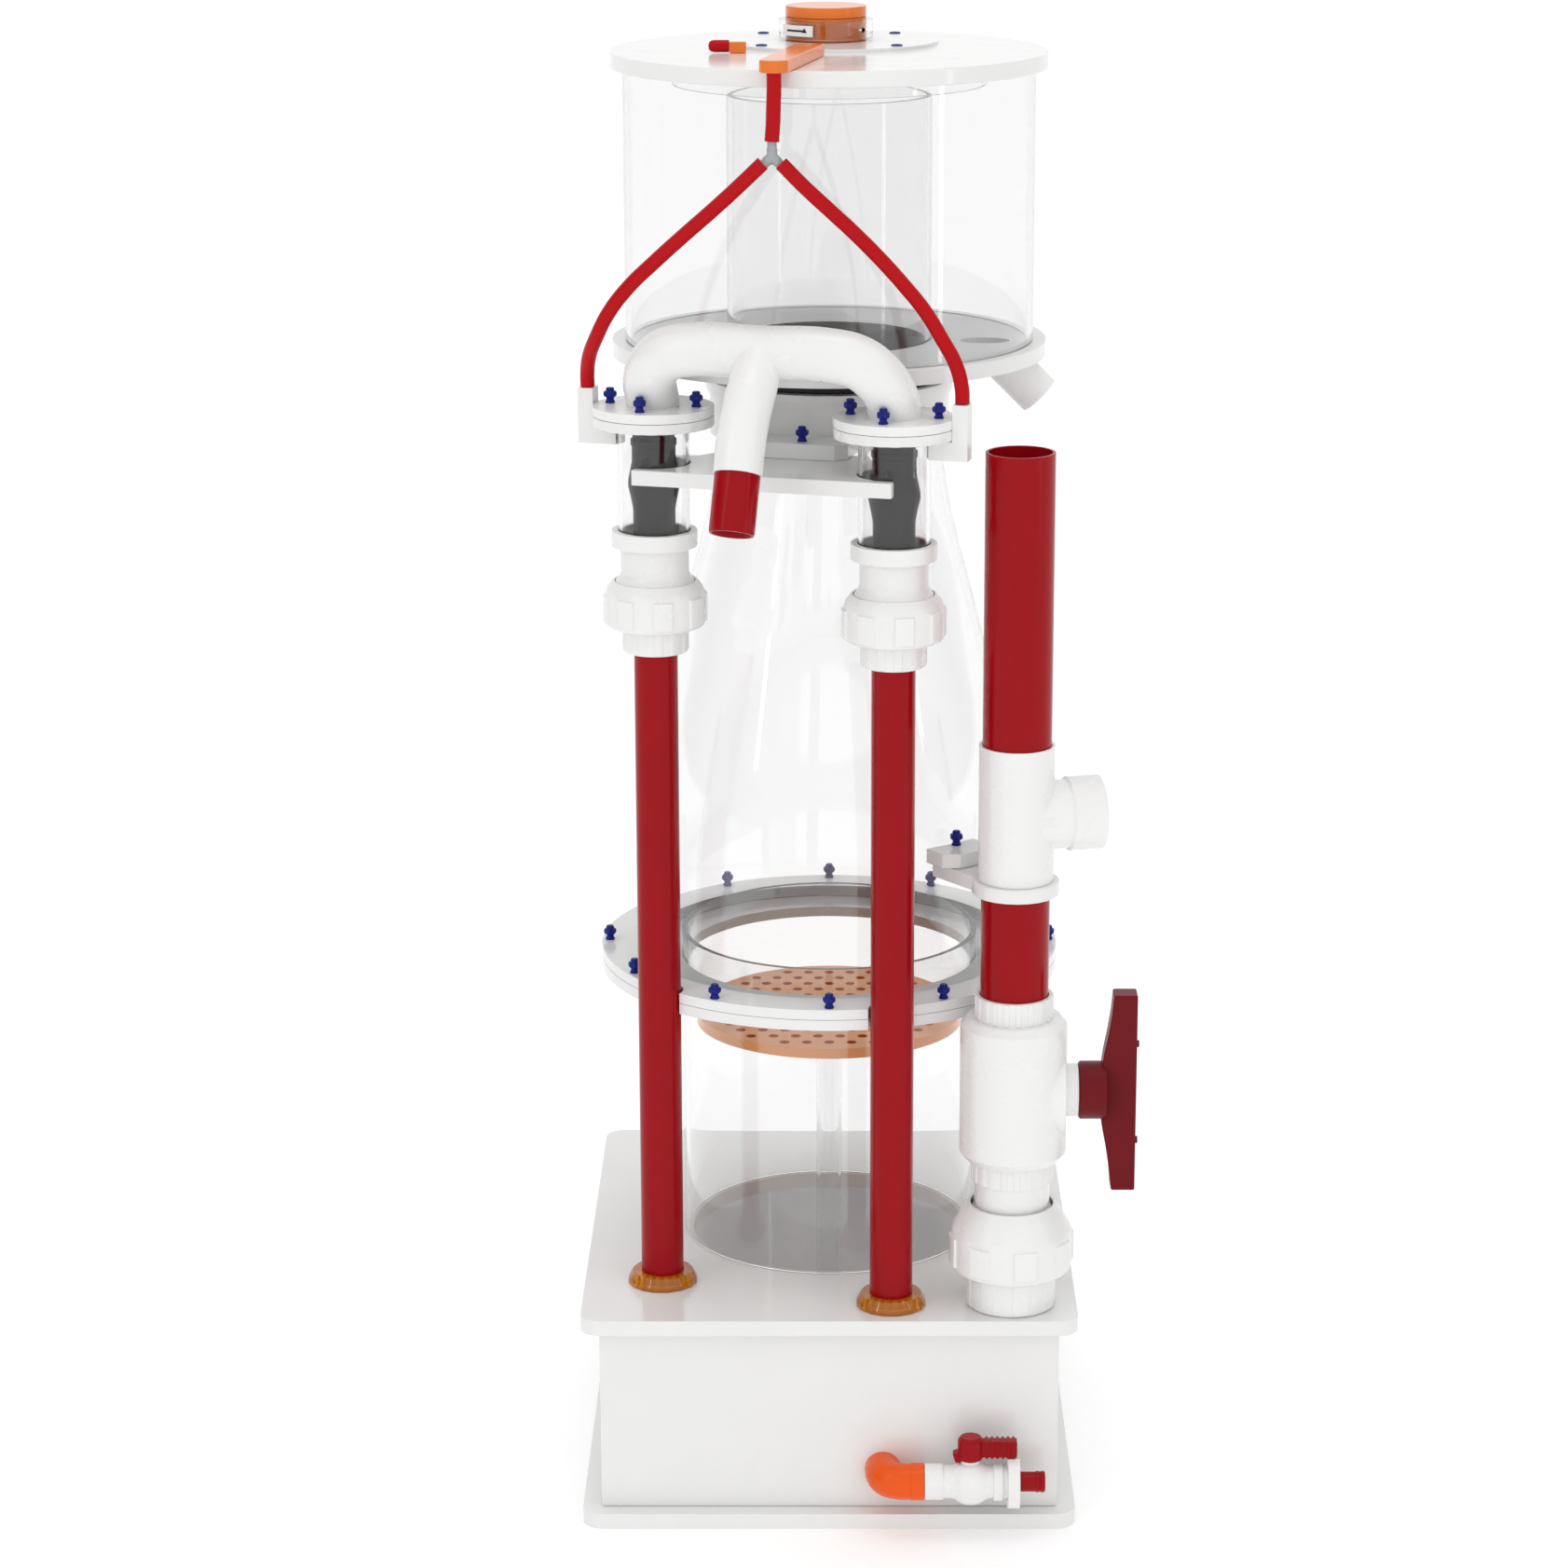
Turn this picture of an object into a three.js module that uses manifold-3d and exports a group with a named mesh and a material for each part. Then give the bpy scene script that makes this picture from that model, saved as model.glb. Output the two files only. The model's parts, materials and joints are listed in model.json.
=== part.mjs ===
// Pond and reef-tank protein skimmer: a white sump box carries a clear reaction tube and cone, a
// lift-off collection cup with its lid, two injector columns fed by one manifold, an outlet riser
// with a ball valve, and a small drain cock. Millimetres, +Z up, front towards -Y. The origin is the
// centre of the base plate's underside, which is also the axis of the tube, cone and cup.

import * as THREE from 'three';
import { mergeVertices } from 'three/addons/utils/BufferGeometryUtils.js';
import Module from 'manifold-3d';

const wasm = await Module();
wasm.setup();

// ---------- driving dimensions ----------
const FIT = 0.3;                 // gap between pieces that touch
const RUN = 0.5;                 // running gap between pieces that turn or slide

const SIDES_LARGE = 24;          // facets round the tube, cone and cup
const SIDES_PIPE = 12;           // facets round pipes and sockets
const SIDES_BORE = 8;            // facets round bores that nothing fits into
const SIDES_HOSE = 8;

// sump box
const PLATE_WIDTH = 465;
const PLATE_DEPTH = 520;
const PLATE_THICK = 15;
const PLATE_CORNER = 20;
const BOX_WIDTH = 430;
const BOX_DEPTH = 485;
const BOX_WALL = 10;
const BOX_HEIGHT = 180;

// reaction tube, bubble plate and its post
const TUBE_R = 142.5;
const TUBE_WALL = 5;
const TUBE_RIM_ABOVE_FLANGE = 15;
const BUBBLE_PLATE_R = 129;
const BUBBLE_PLATE_THICK = 10;
const BUBBLE_PLATE_BELOW_FLANGE = 48;
const BUBBLE_HOLE_R = 4.8;
const BUBBLE_PITCH = 21;
const POST_R = 12.5;
const POST_WALL = 3;

// main flange pair
const FLANGE_UNDERSIDE_Z = 481;
const FLANGE_THICK = 10;
const FLANGE_R = 220;
const FLANGE_NOTCH_GAP = 2;      // round each inlet pipe

// cone
const CONE_R = 184;
const CONE_WALL = 6;
const CONE_STRAIGHT = 100;       // straight skirt above the flange
const CONE_NECK_R = 105;
const CONE_NECK_STRAIGHT = 36;
const CONE_HEIGHT = 534;         // skirt, taper and neck together
// the taper's outline: share of its height, share of the narrowing from skirt to neck
const CONE_TAPER = [[0, 0], [0.25, 0.17], [0.56, 0.52], [0.76, 0.78], [0.92, 0.95], [1, 1]];

// neck socket, cup and lid
const SOCKET_R = 116;
const SOCKET_WALL = 7;
const SOCKET_HEIGHT = 52;
const SOCKET_ABOVE_CONE = 19;
const SOCKET_RIM = 13;           // height of the thicker rim
const CUP_FLOOR_R = 202;
const CUP_FLOOR_THICK = 14;
const CUP_COLLAR_GAP = 1.1;      // round the cup's collar, inside the neck socket
const CUP_COLLAR_HEIGHT = 36;
const CUP_R = 190;
const CUP_WALL = 5;
const CUP_HEIGHT = 249.7;
const CUP_LIFT_GAP = 22;         // from the socket's rim to the cup's floor
const NECK_R = 95;
const NECK_WALL = 5;
const NECK_BELOW_FLOOR = 45;
const NECK_BELOW_LID = 25;
const SPOUT_R = 20;
const SPOUT_WALL = 4;
const SPOUT_LENGTH = 62;
const LID_R = 201;
const LID_THICK = 15;
const LID_HATCH_R = 102;
const LID_HATCH_RISE = 3;
const HATCH_BACK = 67;           // hatch centre behind the axis
const LID_RING_R = 145;
const LID_RING_WALL = 5;
const LID_RING_DROP = 15;

// air valve on the hatch
const VALVE_X = -3;
const AIR_BODY_R = 37.7;
const AIR_BODY_WALL = 6;
const AIR_BODY_HEIGHT = 21;
const AIR_RING_WALL = 5.8;
const AIR_RING_HEIGHT = 17;
const AIR_CAP_THICK = 10;
const AIR_SLOT_HEIGHT = 7;

// air bar and capped port
const BAR_WIDTH = 26;
const BAR_THICK = 11;
const BAR_START = [-17, -60];
const BAR_END = [-48, -212];
const PORT_AT = [-83, -35];
const PORT_BLOCK = [15, 10, 10];
const PORT_CAP_R = 5.5;
const PORT_CAP_LENGTH = 19;

// air hoses
const HOSE_R = 6.5;

// injector assembly, in its own turned frame: x along the manifold, y to the back
const ASSEMBLY_TURN = 15;        // degrees, right side towards the front
const COLUMN_CIRCLE_R = 224;     // both columns stand on this circle, 60 degrees apart
const INLET_PIPE_R = 20;
const INLET_PIPE_WALL = 3;
const BULKHEAD_WALL = 13;        // outside the inlet pipe, at the bulkhead's foot
const BULKHEAD_THICK = 12;
const INLET_SOCKET_WALL = 10;    // outside the inlet pipe: union's socket, collar and nut
const INLET_COLLAR_WALL = 16;
const INLET_NUT_WALL = 27.5;
const INLET_SOCKET_DEPTH = 23;
const INLET_SPLIT = 22;          // union's joint above the inlet pipe's end
const INLET_NUT_HEIGHT = 43;
const CHAMBER_R = 32.5;
const CHAMBER_WALL = 3;
const CHAMBER_COLLAR_R = 39;
const CHAMBER_TAIL_STEP = 1.5;   // union tail inside the chamber's outer face
const CHAMBER_COLLAR_THICK = 15;
const CHAMBER_ABOVE_CONE = 10;   // chamber's top above the cone's top
const CHAMBER_HEIGHT = 120;
const TAIL_NECK = 75;            // from the inlet pipe's end to the chamber's foot
const INJECTOR_FOOT_R = 19.4;
const INJECTOR_BELLY_R = 24;
const INJECTOR_WAIST_R = 20;
const INJECTOR_HEAD_R = 20.7;
const INJECTOR_BORE_R = 10;
const INJECTOR_SEAT = 0.4;       // injector's foot over the tail's bore
const INJECTOR_FOOT_HEIGHT = 36;
const INJECTOR_BELLY_HEIGHT = 56;
const INJECTOR_WAIST_HEIGHT = 78;
const INJECTOR_HEAD_HEIGHT = 92;
const HEAD_R = 55;
const HEAD_THICK = 9;
const AIR_BLOCK_WIDTH = 14;
const AIR_BLOCK_DEPTH = 17;
const AIR_BLOCK_RISE = 22.6;     // above the head's top face
const AIR_BLOCK_DROP = 18.5;     // below the head's underside
const MANIFOLD_R = 24;
const MANIFOLD_WALL = 4;
const MANIFOLD_RISE = 58;        // run's axis above the cap's top face
const MANIFOLD_BOW = 38;         // run's axis in front of the columns, clear of the cup's floor
const BRANCH_R = 22;
const BARB_R = 20.2;
const BARB_WALL = 3;
const BARB_LENGTH = 52;
const BARB_TILT = 22;            // degrees from vertical

// wing bracket
const WING_THICK = 14;
const NECK_TAB_SIDE = 10;        // tab's middle, to the right of the assembly's middle
const NECK_TAB_WIDTH = 90;
const NECK_TAB_FRONT = 150;

// outlet
const OUTLET_X = 170.5;
const OUTLET_Y = -212;
const RISER_R = 31.5;
const RISER_WALL = 3;
const RISER_TOP = 1021;
const OUTLET_BORE_R = 21.5;
const OUTLET_SOCKET_R = 42;
const OUTLET_COLLAR_R = 48;
const OUTLET_NUT_R = 58.5;
const OUTLET_SOCKET_HEIGHT = 35;
const OUTLET_NUT_HEIGHT = 66;
const OUTLET_SPLIT = 70;         // union's joint above the deck
const VALVE_TAIL_R = 35;
const VALVE_RIB_R = 38;
const VALVE_RIB_HEIGHT = 21;
const VALVE_CHAMFER = 6;
const VALVE_BODY_R = 49.5;
const VALVE_BODY_BOTTOM = 355;
const VALVE_BODY_TOP = 493;
const VALVE_COLLAR_R = 36.5;
const VALVE_COLLAR_TOP = 515;
const VALVE_AXIS_Z = 421;
const VALVE_BOSS_R = 24.5;
const VALVE_BOSS_REACH = 60;
const VALVE_BALL_R = 35.5;
const VALVE_BORE_R = 25;
const VALVE_STEM_R = 9;
const HUB_R = 27;
const HUB_LENGTH = 21;
const HANDLE_LENGTH = 190;
const HANDLE_THICK = 32;
const HANDLE_WIDTH = 24;
const BRACKET_BOTTOM = 612;
const BRACKET_THICK = 13;
const BRACKET_RING_R = 40;
const TEE_R = 34.5;
const TEE_TOP = 752;
const TEE_BRANCH_R = 34;
const TEE_BRANCH_Z = 684;
const TEE_BRANCH_LENGTH = 78;
const TEE_BRANCH_TURN = 13;      // degrees towards the back
const TAB_THICK = 14;
const TAB_WIDTH = 56;
const TAB_REACH = 34;

// drain cock
const DRAIN_X = 50.6;
const DRAIN_Y = -272;
const DRAIN_Z = 54;
const DRAIN_R = 17;
const DRAIN_WALL = 3;
const DRAIN_ELBOW_END = 89;
const DRAIN_BODY_END = 167;
const DRAIN_NUT_END = 178;
const DRAIN_NUT_R = 25;
const DRAIN_BALL_R = 22;
const DRAIN_BALL_X = 132;
const DRAIN_BORE_R = 9;
const DRAIN_STEM_R = 5;
const DRAIN_BARB_R = 10;
const DRAIN_BARB_END = 202;
const LEVER_THICK = 20;

// ---------- heights worked out from the driving dimensions ----------
const COLUMN_X = COLUMN_CIRCLE_R / 2;
const COLUMN_FRONT = COLUMN_CIRCLE_R * Math.sqrt(3) / 2;
const TOP_PLATE_Z = PLATE_THICK + BOX_HEIGHT;
const DECK_Z = TOP_PLATE_Z + PLATE_THICK;
const FLANGE_TOP_Z = FLANGE_UNDERSIDE_Z + 2 * FLANGE_THICK;
const CONE_TOP_Z = FLANGE_TOP_Z + CONE_HEIGHT;
const SOCKET_TOP_Z = CONE_TOP_Z + SOCKET_ABOVE_CONE;
const SOCKET_BOTTOM_Z = SOCKET_TOP_Z - SOCKET_HEIGHT;
const CUP_FLOOR_Z = SOCKET_TOP_Z + CUP_LIFT_GAP;
const CUP_TUBE_Z = CUP_FLOOR_Z + CUP_FLOOR_THICK;
const LID_Z = CUP_TUBE_Z + CUP_HEIGHT + 2 * FIT;
const LID_TOP_Z = LID_Z + LID_THICK;
const HATCH_TOP_Z = LID_TOP_Z + LID_HATCH_RISE;
const CHAMBER_TOP = CONE_TOP_Z + CHAMBER_ABOVE_CONE;
const CHAMBER_COLLAR_BOTTOM = CHAMBER_TOP - CHAMBER_HEIGHT;
const INLET_PIPE_TOP = CHAMBER_COLLAR_BOTTOM - TAIL_NECK;
const CAP_TOP_Z = CHAMBER_TOP + HEAD_THICK;
const CUP_COLLAR_R = CONE_NECK_R + RUN - CUP_COLLAR_GAP;
const AIR_RING_R = AIR_BODY_R + RUN + AIR_RING_WALL;
const BUBBLE_PLATE_Z = FLANGE_UNDERSIDE_Z - BUBBLE_PLATE_BELOW_FLANGE - BUBBLE_PLATE_THICK;

// ---------- solids from three.js geometry ----------
function toSolid(geometry) {
  const bare = geometry.clone();
  bare.deleteAttribute('normal');
  bare.deleteAttribute('uv');
  const welded = mergeVertices(bare, 1e-3);
  const position = welded.attributes.position;
  const index = welded.index.array;
  const kept = [];
  let volume = 0;
  const [a, b, c] = [new THREE.Vector3(), new THREE.Vector3(), new THREE.Vector3()];
  for (let i = 0; i < index.length; i += 3) {
    const [p, q, r] = [index[i], index[i + 1], index[i + 2]];
    if (p === q || q === r || r === p) continue;
    kept.push(p, q, r);
    a.fromBufferAttribute(position, p);
    b.fromBufferAttribute(position, q);
    c.fromBufferAttribute(position, r);
    volume += a.dot(b.cross(c));
  }
  if (volume < 0) {
    for (let i = 0; i < kept.length; i += 3) {
      [kept[i + 1], kept[i + 2]] = [kept[i + 2], kept[i + 1]];
    }
  }
  return new wasm.Manifold(new wasm.Mesh({
    numProp: 3,
    vertProperties: new Float32Array(position.array),
    triVerts: new Uint32Array(kept),
  }));
}

function toGeometry(solid) {
  const { vertProperties, triVerts } = solid.getMesh();
  const geometry = new THREE.BufferGeometry();
  geometry.setAttribute('position', new THREE.BufferAttribute(new Float32Array(vertProperties), 3));
  geometry.setIndex(new THREE.BufferAttribute(new Uint32Array(triVerts), 1));
  geometry.computeVertexNormals();
  return geometry;
}

// Turns a closed outline of [radius, height] points about the vertical through (x, y).
function turned(outline, sides, x = 0, y = 0) {
  const points = outline.map(([r, z]) => new THREE.Vector2(r, z));
  const closed = outline[0][0] > 0 || outline.at(-1)[0] > 0;
  if (closed) points.push(points[0].clone());
  return toSolid(new THREE.LatheGeometry(points, sides).rotateX(Math.PI / 2).translate(x, y, 0));
}

function ring(inner, outer, bottom, top, sides, x = 0, y = 0) {
  return turned([[inner, bottom], [outer, bottom], [outer, top], [inner, top]], sides, x, y);
}

function disc(radius, bottom, top, sides, x = 0, y = 0) {
  return turned([[0, bottom], [radius, bottom], [radius, top], [0, top]], sides, x, y);
}

function block(low, high) {
  const size = high.map((value, i) => value - low[i]);
  const middle = high.map((value, i) => (value + low[i]) / 2);
  return toSolid(new THREE.BoxGeometry(...size).translate(...middle));
}

// A round bar between two points.
function bar(radius, from, to, sides) {
  const start = new THREE.Vector3(...from);
  const end = new THREE.Vector3(...to);
  const direction = end.clone().sub(start);
  const geometry = new THREE.CylinderGeometry(radius, radius, direction.length(), sides);
  const turn = new THREE.Quaternion().setFromUnitVectors(
    new THREE.Vector3(0, 1, 0), direction.clone().normalize());
  geometry.applyQuaternion(turn);
  const middle = start.add(end).multiplyScalar(0.5);
  return toSolid(geometry.translate(middle.x, middle.y, middle.z));
}

function circleShape(radius, sides) {
  const points = [];
  for (let i = 0; i < sides; i++) {
    const angle = (2 * Math.PI * i) / sides;
    points.push(new THREE.Vector2(radius * Math.cos(angle), radius * Math.sin(angle)));
  }
  return new THREE.Shape(points);
}

// A round section swept along a smooth curve through the points.
function swept(radius, points, steps, sides) {
  const curve = new THREE.CatmullRomCurve3(points.map((p) => new THREE.Vector3(...p)));
  return toSolid(new THREE.ExtrudeGeometry(circleShape(radius, sides), {
    steps, bevelEnabled: false, extrudePath: curve,
  }));
}

function sliced(shape, bottom, top, curveSegments = 6) {
  const geometry = new THREE.ExtrudeGeometry(shape, {
    depth: top - bottom, bevelEnabled: false, curveSegments,
  });
  return toSolid(geometry.translate(0, 0, bottom));
}

function outlineShape(points) {
  return new THREE.Shape(points.map(([x, y]) => new THREE.Vector2(x, y)));
}

function roundedRectangle(width, depth, corner) {
  const [x, y] = [width / 2, depth / 2];
  const shape = new THREE.Shape();
  shape.moveTo(-x + corner, -y);
  shape.lineTo(x - corner, -y);
  shape.absarc(x - corner, -y + corner, corner, -Math.PI / 2, 0, false);
  shape.lineTo(x, y - corner);
  shape.absarc(x - corner, y - corner, corner, 0, Math.PI / 2, false);
  shape.lineTo(-x + corner, y);
  shape.absarc(-x + corner, y - corner, corner, Math.PI / 2, Math.PI, false);
  shape.lineTo(-x, -y + corner);
  shape.absarc(-x + corner, -y + corner, corner, Math.PI, 1.5 * Math.PI, false);
  return shape;
}

// ---------- materials ----------
const finish = (color, roughness, extra = {}) =>
  new THREE.MeshStandardMaterial({ color, roughness, metalness: 0, ...extra });
const whiteAcrylic = finish(0xf2f2f0, 0.15);
const whitePvc = finish(0xf4f4f2, 0.3);
const clearAcrylic = finish(0xeef2f2, 0.05, { transparent: true, opacity: 0.35 });
const redPvc = finish(0xa0101a, 0.25);
const darkRedPlastic = finish(0x6e121a, 0.4);
const redSilicone = finish(0xc01018, 0.35);
const orangeAcrylic = finish(0xe07020, 0.15);
const orangePlastic = finish(0xf06020, 0.25);
const blackPlastic = finish(0x262626, 0.45);
const greyPlastic = finish(0xb8bcc0, 0.3);

const skimmer = new THREE.Group();
const injectors = new THREE.Group();
injectors.rotation.z = THREE.MathUtils.degToRad(-ASSEMBLY_TURN);
skimmer.add(injectors);

function add(group, name, solid, material) {
  const mesh = new THREE.Mesh(toGeometry(solid), material);
  mesh.name = name;
  group.add(mesh);
}

// A place in the injector assembly's frame, given in the object's frame.
function toObject([x, y]) {
  const turn = THREE.MathUtils.degToRad(-ASSEMBLY_TURN);
  return [x * Math.cos(turn) - y * Math.sin(turn), x * Math.sin(turn) + y * Math.cos(turn)];
}

// ---------- sump box ----------
function buildSump() {
  const plate = roundedRectangle(PLATE_WIDTH, PLATE_DEPTH, PLATE_CORNER);
  add(skimmer, 'base_plate', sliced(plate, 0, PLATE_THICK, 4), whiteAcrylic);

  const bottom = PLATE_THICK + FIT;
  const top = TOP_PLATE_Z - FIT;
  const [x, y] = [BOX_WIDTH / 2, BOX_DEPTH / 2];
  const walls = block([-x, -y, bottom], [x, y, top])
    .subtract(block([-x + BOX_WALL, -y + BOX_WALL, bottom - 1], [x - BOX_WALL, y - BOX_WALL, top + 1]))
    .subtract(bar(DRAIN_R + RUN, [DRAIN_X, -y - 1, DRAIN_Z], [DRAIN_X, -y + BOX_WALL + 1, DRAIN_Z],
      SIDES_PIPE));
  add(skimmer, 'sump_box', walls, whiteAcrylic);

  let deck = sliced(plate, TOP_PLATE_Z, DECK_Z, 4)
    .subtract(disc(TUBE_R - TUBE_WALL - 4, TOP_PLATE_Z - 1, DECK_Z + 1, SIDES_LARGE))
    .subtract(disc(RISER_R - 11, TOP_PLATE_Z - 1, DECK_Z + 1, SIDES_PIPE, OUTLET_X, OUTLET_Y));
  for (const columnX of [-COLUMN_X, COLUMN_X]) {
    const [holeX, holeY] = toObject([columnX, -COLUMN_FRONT]);
    deck = deck.subtract(
      disc(INLET_PIPE_R + 2 * RUN, TOP_PLATE_Z - 1, DECK_Z + 1, SIDES_PIPE, holeX, holeY));
  }
  add(skimmer, 'top_plate', deck, whiteAcrylic);
}

// ---------- reaction tube, bubble plate, flanges ----------
function buildReactionTube() {
  add(skimmer, 'reaction_tube', ring(TUBE_R - TUBE_WALL, TUBE_R, DECK_Z + FIT,
    FLANGE_TOP_Z + TUBE_RIM_ABOVE_FLANGE, SIDES_LARGE), clearAcrylic);

  const plate = new THREE.Shape(circleShape(BUBBLE_PLATE_R, SIDES_LARGE).getPoints());
  const rowGap = BUBBLE_PITCH * Math.sqrt(3) / 2;
  const reach = BUBBLE_PLATE_R - 2.5 * BUBBLE_HOLE_R;
  const rows = Math.floor(reach / rowGap);
  for (let row = -rows; row <= rows; row++) {
    const shift = row % 2 === 0 ? 0 : BUBBLE_PITCH / 2;
    const columns = Math.ceil(reach / BUBBLE_PITCH);
    for (let column = -columns; column <= columns; column++) {
      const [x, y] = [column * BUBBLE_PITCH + shift, row * rowGap];
      const distance = Math.hypot(x, y);
      if (distance > reach || distance < POST_R + BUBBLE_HOLE_R) continue;
      const points = circleShape(BUBBLE_HOLE_R, 6).getPoints();
      plate.holes.push(new THREE.Path(points.map((p) => new THREE.Vector2(p.x + x, p.y + y))));
    }
  }
  add(skimmer, 'bubble_plate',
    sliced(plate, BUBBLE_PLATE_Z, BUBBLE_PLATE_Z + BUBBLE_PLATE_THICK, 1), orangeAcrylic);
  add(skimmer, 'plate_post', ring(POST_R - POST_WALL, POST_R, PLATE_THICK + FIT,
    BUBBLE_PLATE_Z - FIT, SIDES_PIPE), clearAcrylic);

  const joint = FLANGE_UNDERSIDE_Z + FLANGE_THICK;
  const notched = (flange) => [-COLUMN_X, COLUMN_X].reduce((solid, columnX) => {
    const [x, y] = toObject([columnX, -COLUMN_FRONT]);
    return solid.subtract(disc(INLET_PIPE_R + FLANGE_NOTCH_GAP, FLANGE_UNDERSIDE_Z - 1,
      FLANGE_TOP_Z + 1, SIDES_PIPE, x, y));
  }, flange);
  add(skimmer, 'lower_flange',
    notched(ring(TUBE_R + RUN, FLANGE_R, FLANGE_UNDERSIDE_Z, joint, SIDES_LARGE)), whiteAcrylic);
  add(skimmer, 'upper_flange',
    notched(ring(CONE_R + RUN, FLANGE_R, joint + FIT, FLANGE_TOP_Z, SIDES_LARGE)), whiteAcrylic);
}

function buildCone() {
  const foot = FLANGE_UNDERSIDE_Z + FLANGE_THICK + FIT;
  const taperBottom = FLANGE_TOP_Z + CONE_STRAIGHT;
  const taperHeight = CONE_TOP_Z - CONE_NECK_STRAIGHT - taperBottom;
  const outer = [
    [CONE_R, foot],
    ...CONE_TAPER.map(([up, narrowing]) => [
      CONE_R + (CONE_NECK_R - CONE_R) * narrowing, taperBottom + taperHeight * up]),
    [CONE_NECK_R, CONE_TOP_Z],
  ];
  const inner = outer.map(([radius, z]) => [radius - CONE_WALL, z]).reverse();
  add(skimmer, 'cone', turned([...outer, ...inner], SIDES_LARGE), clearAcrylic);

  // white socket glued round the cone's neck, with the tab that the wing bracket bolts to
  const rimBottom = SOCKET_TOP_Z - SOCKET_RIM;
  const bore = CONE_NECK_R + RUN;
  const socket = turned([
    [bore, SOCKET_BOTTOM_Z], [bore + SOCKET_WALL, SOCKET_BOTTOM_Z], [bore + SOCKET_WALL, rimBottom],
    [SOCKET_R, SOCKET_TOP_Z - SOCKET_RIM / 2], [SOCKET_R, SOCKET_TOP_Z], [bore, SOCKET_TOP_Z],
  ], SIDES_LARGE);
  const [tabLow, tabHigh] = [NECK_TAB_SIDE - NECK_TAB_WIDTH / 2, NECK_TAB_SIDE + NECK_TAB_WIDTH / 2];
  const tab = sliced(outlineShape([
    [tabLow, -90], [tabLow, 10 - NECK_TAB_FRONT], [tabLow + 10, -NECK_TAB_FRONT],
    [tabHigh - 10, -NECK_TAB_FRONT], [tabHigh, 10 - NECK_TAB_FRONT], [tabHigh, -90],
  ].map(toObject)), SOCKET_BOTTOM_Z, SOCKET_BOTTOM_Z + TAB_THICK)
    .subtract(disc(bore, SOCKET_BOTTOM_Z - 1, SOCKET_TOP_Z, SIDES_LARGE));
  add(skimmer, 'neck_socket', socket.add(tab), whiteAcrylic);

  // tab glued to the cone's skirt, above the riser bracket's arm
  const azimuth = Math.atan2(OUTLET_Y + 10, OUTLET_X - 14);
  const tabBottom = BRACKET_BOTTOM + BRACKET_THICK + FIT;
  const riserTab = turnedPlate(CONE_R - 14, CONE_R + TAB_REACH, TAB_WIDTH, azimuth, tabBottom,
    tabBottom + TAB_THICK).subtract(disc(CONE_R + 1, tabBottom - 1, tabBottom + TAB_THICK + 1,
    SIDES_LARGE * 2));
  add(skimmer, 'riser_tab', riserTab, whiteAcrylic);
}

// A flat bar lying along a radius at the given azimuth.
function turnedPlate(near, far, width, azimuth, bottom, top) {
  const [c, s] = [Math.cos(azimuth), Math.sin(azimuth)];
  const corner = (r, across) => [r * c - across * s, r * s + across * c];
  const half = width / 2;
  const cut = 12;
  return sliced(outlineShape([
    corner(near, -half), corner(far - cut, -half), corner(far, -half + cut),
    corner(far, half - cut), corner(far - cut, half), corner(near, half),
  ]), bottom, top);
}

// ---------- collection cup ----------
function buildCup() {
  const floorTop = CUP_FLOOR_Z + CUP_FLOOR_THICK;
  const bore = NECK_R + RUN;
  add(skimmer, 'cup_floor', turned([
    [bore, CUP_FLOOR_Z - CUP_COLLAR_HEIGHT], [CUP_COLLAR_R, CUP_FLOOR_Z - CUP_COLLAR_HEIGHT],
    [CUP_COLLAR_R, CUP_FLOOR_Z], [CUP_FLOOR_R, CUP_FLOOR_Z], [CUP_FLOOR_R, floorTop],
    [bore, floorTop],
  ], SIDES_LARGE).subtract(spoutBar(SPOUT_R + RUN, 60, 30)), whiteAcrylic);
  add(skimmer, 'cup_tube', ring(CUP_R - CUP_WALL, CUP_R, floorTop + FIT,
    floorTop + FIT + CUP_HEIGHT, SIDES_LARGE), clearAcrylic);
  add(skimmer, 'neck_tube', ring(NECK_R - NECK_WALL, NECK_R, CUP_FLOOR_Z - NECK_BELOW_FLOOR,
    LID_Z - NECK_BELOW_LID, SIDES_LARGE), clearAcrylic);
  const spout = spoutBar(SPOUT_R, 4, SPOUT_LENGTH)
    .subtract(spoutBar(SPOUT_R - SPOUT_WALL, 10, SPOUT_LENGTH + 5))
    .subtract(disc(CUP_R, floorTop - 0.5, floorTop + 60, SIDES_LARGE));
  add(skimmer, 'cup_spout', spout, whitePvc);
}

// A bar on the drain spout's axis, which leaves the cup floor downwards and to the right at 45 degrees.
function spoutBar(radius, behind, ahead) {
  const anchor = [152, -20, CUP_FLOOR_Z + 6];
  const step = Math.SQRT1_2;
  const at = (d) => [anchor[0] + step * d, anchor[1], anchor[2] - step * d];
  return bar(radius, at(-behind), at(ahead), SIDES_PIPE);
}

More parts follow.
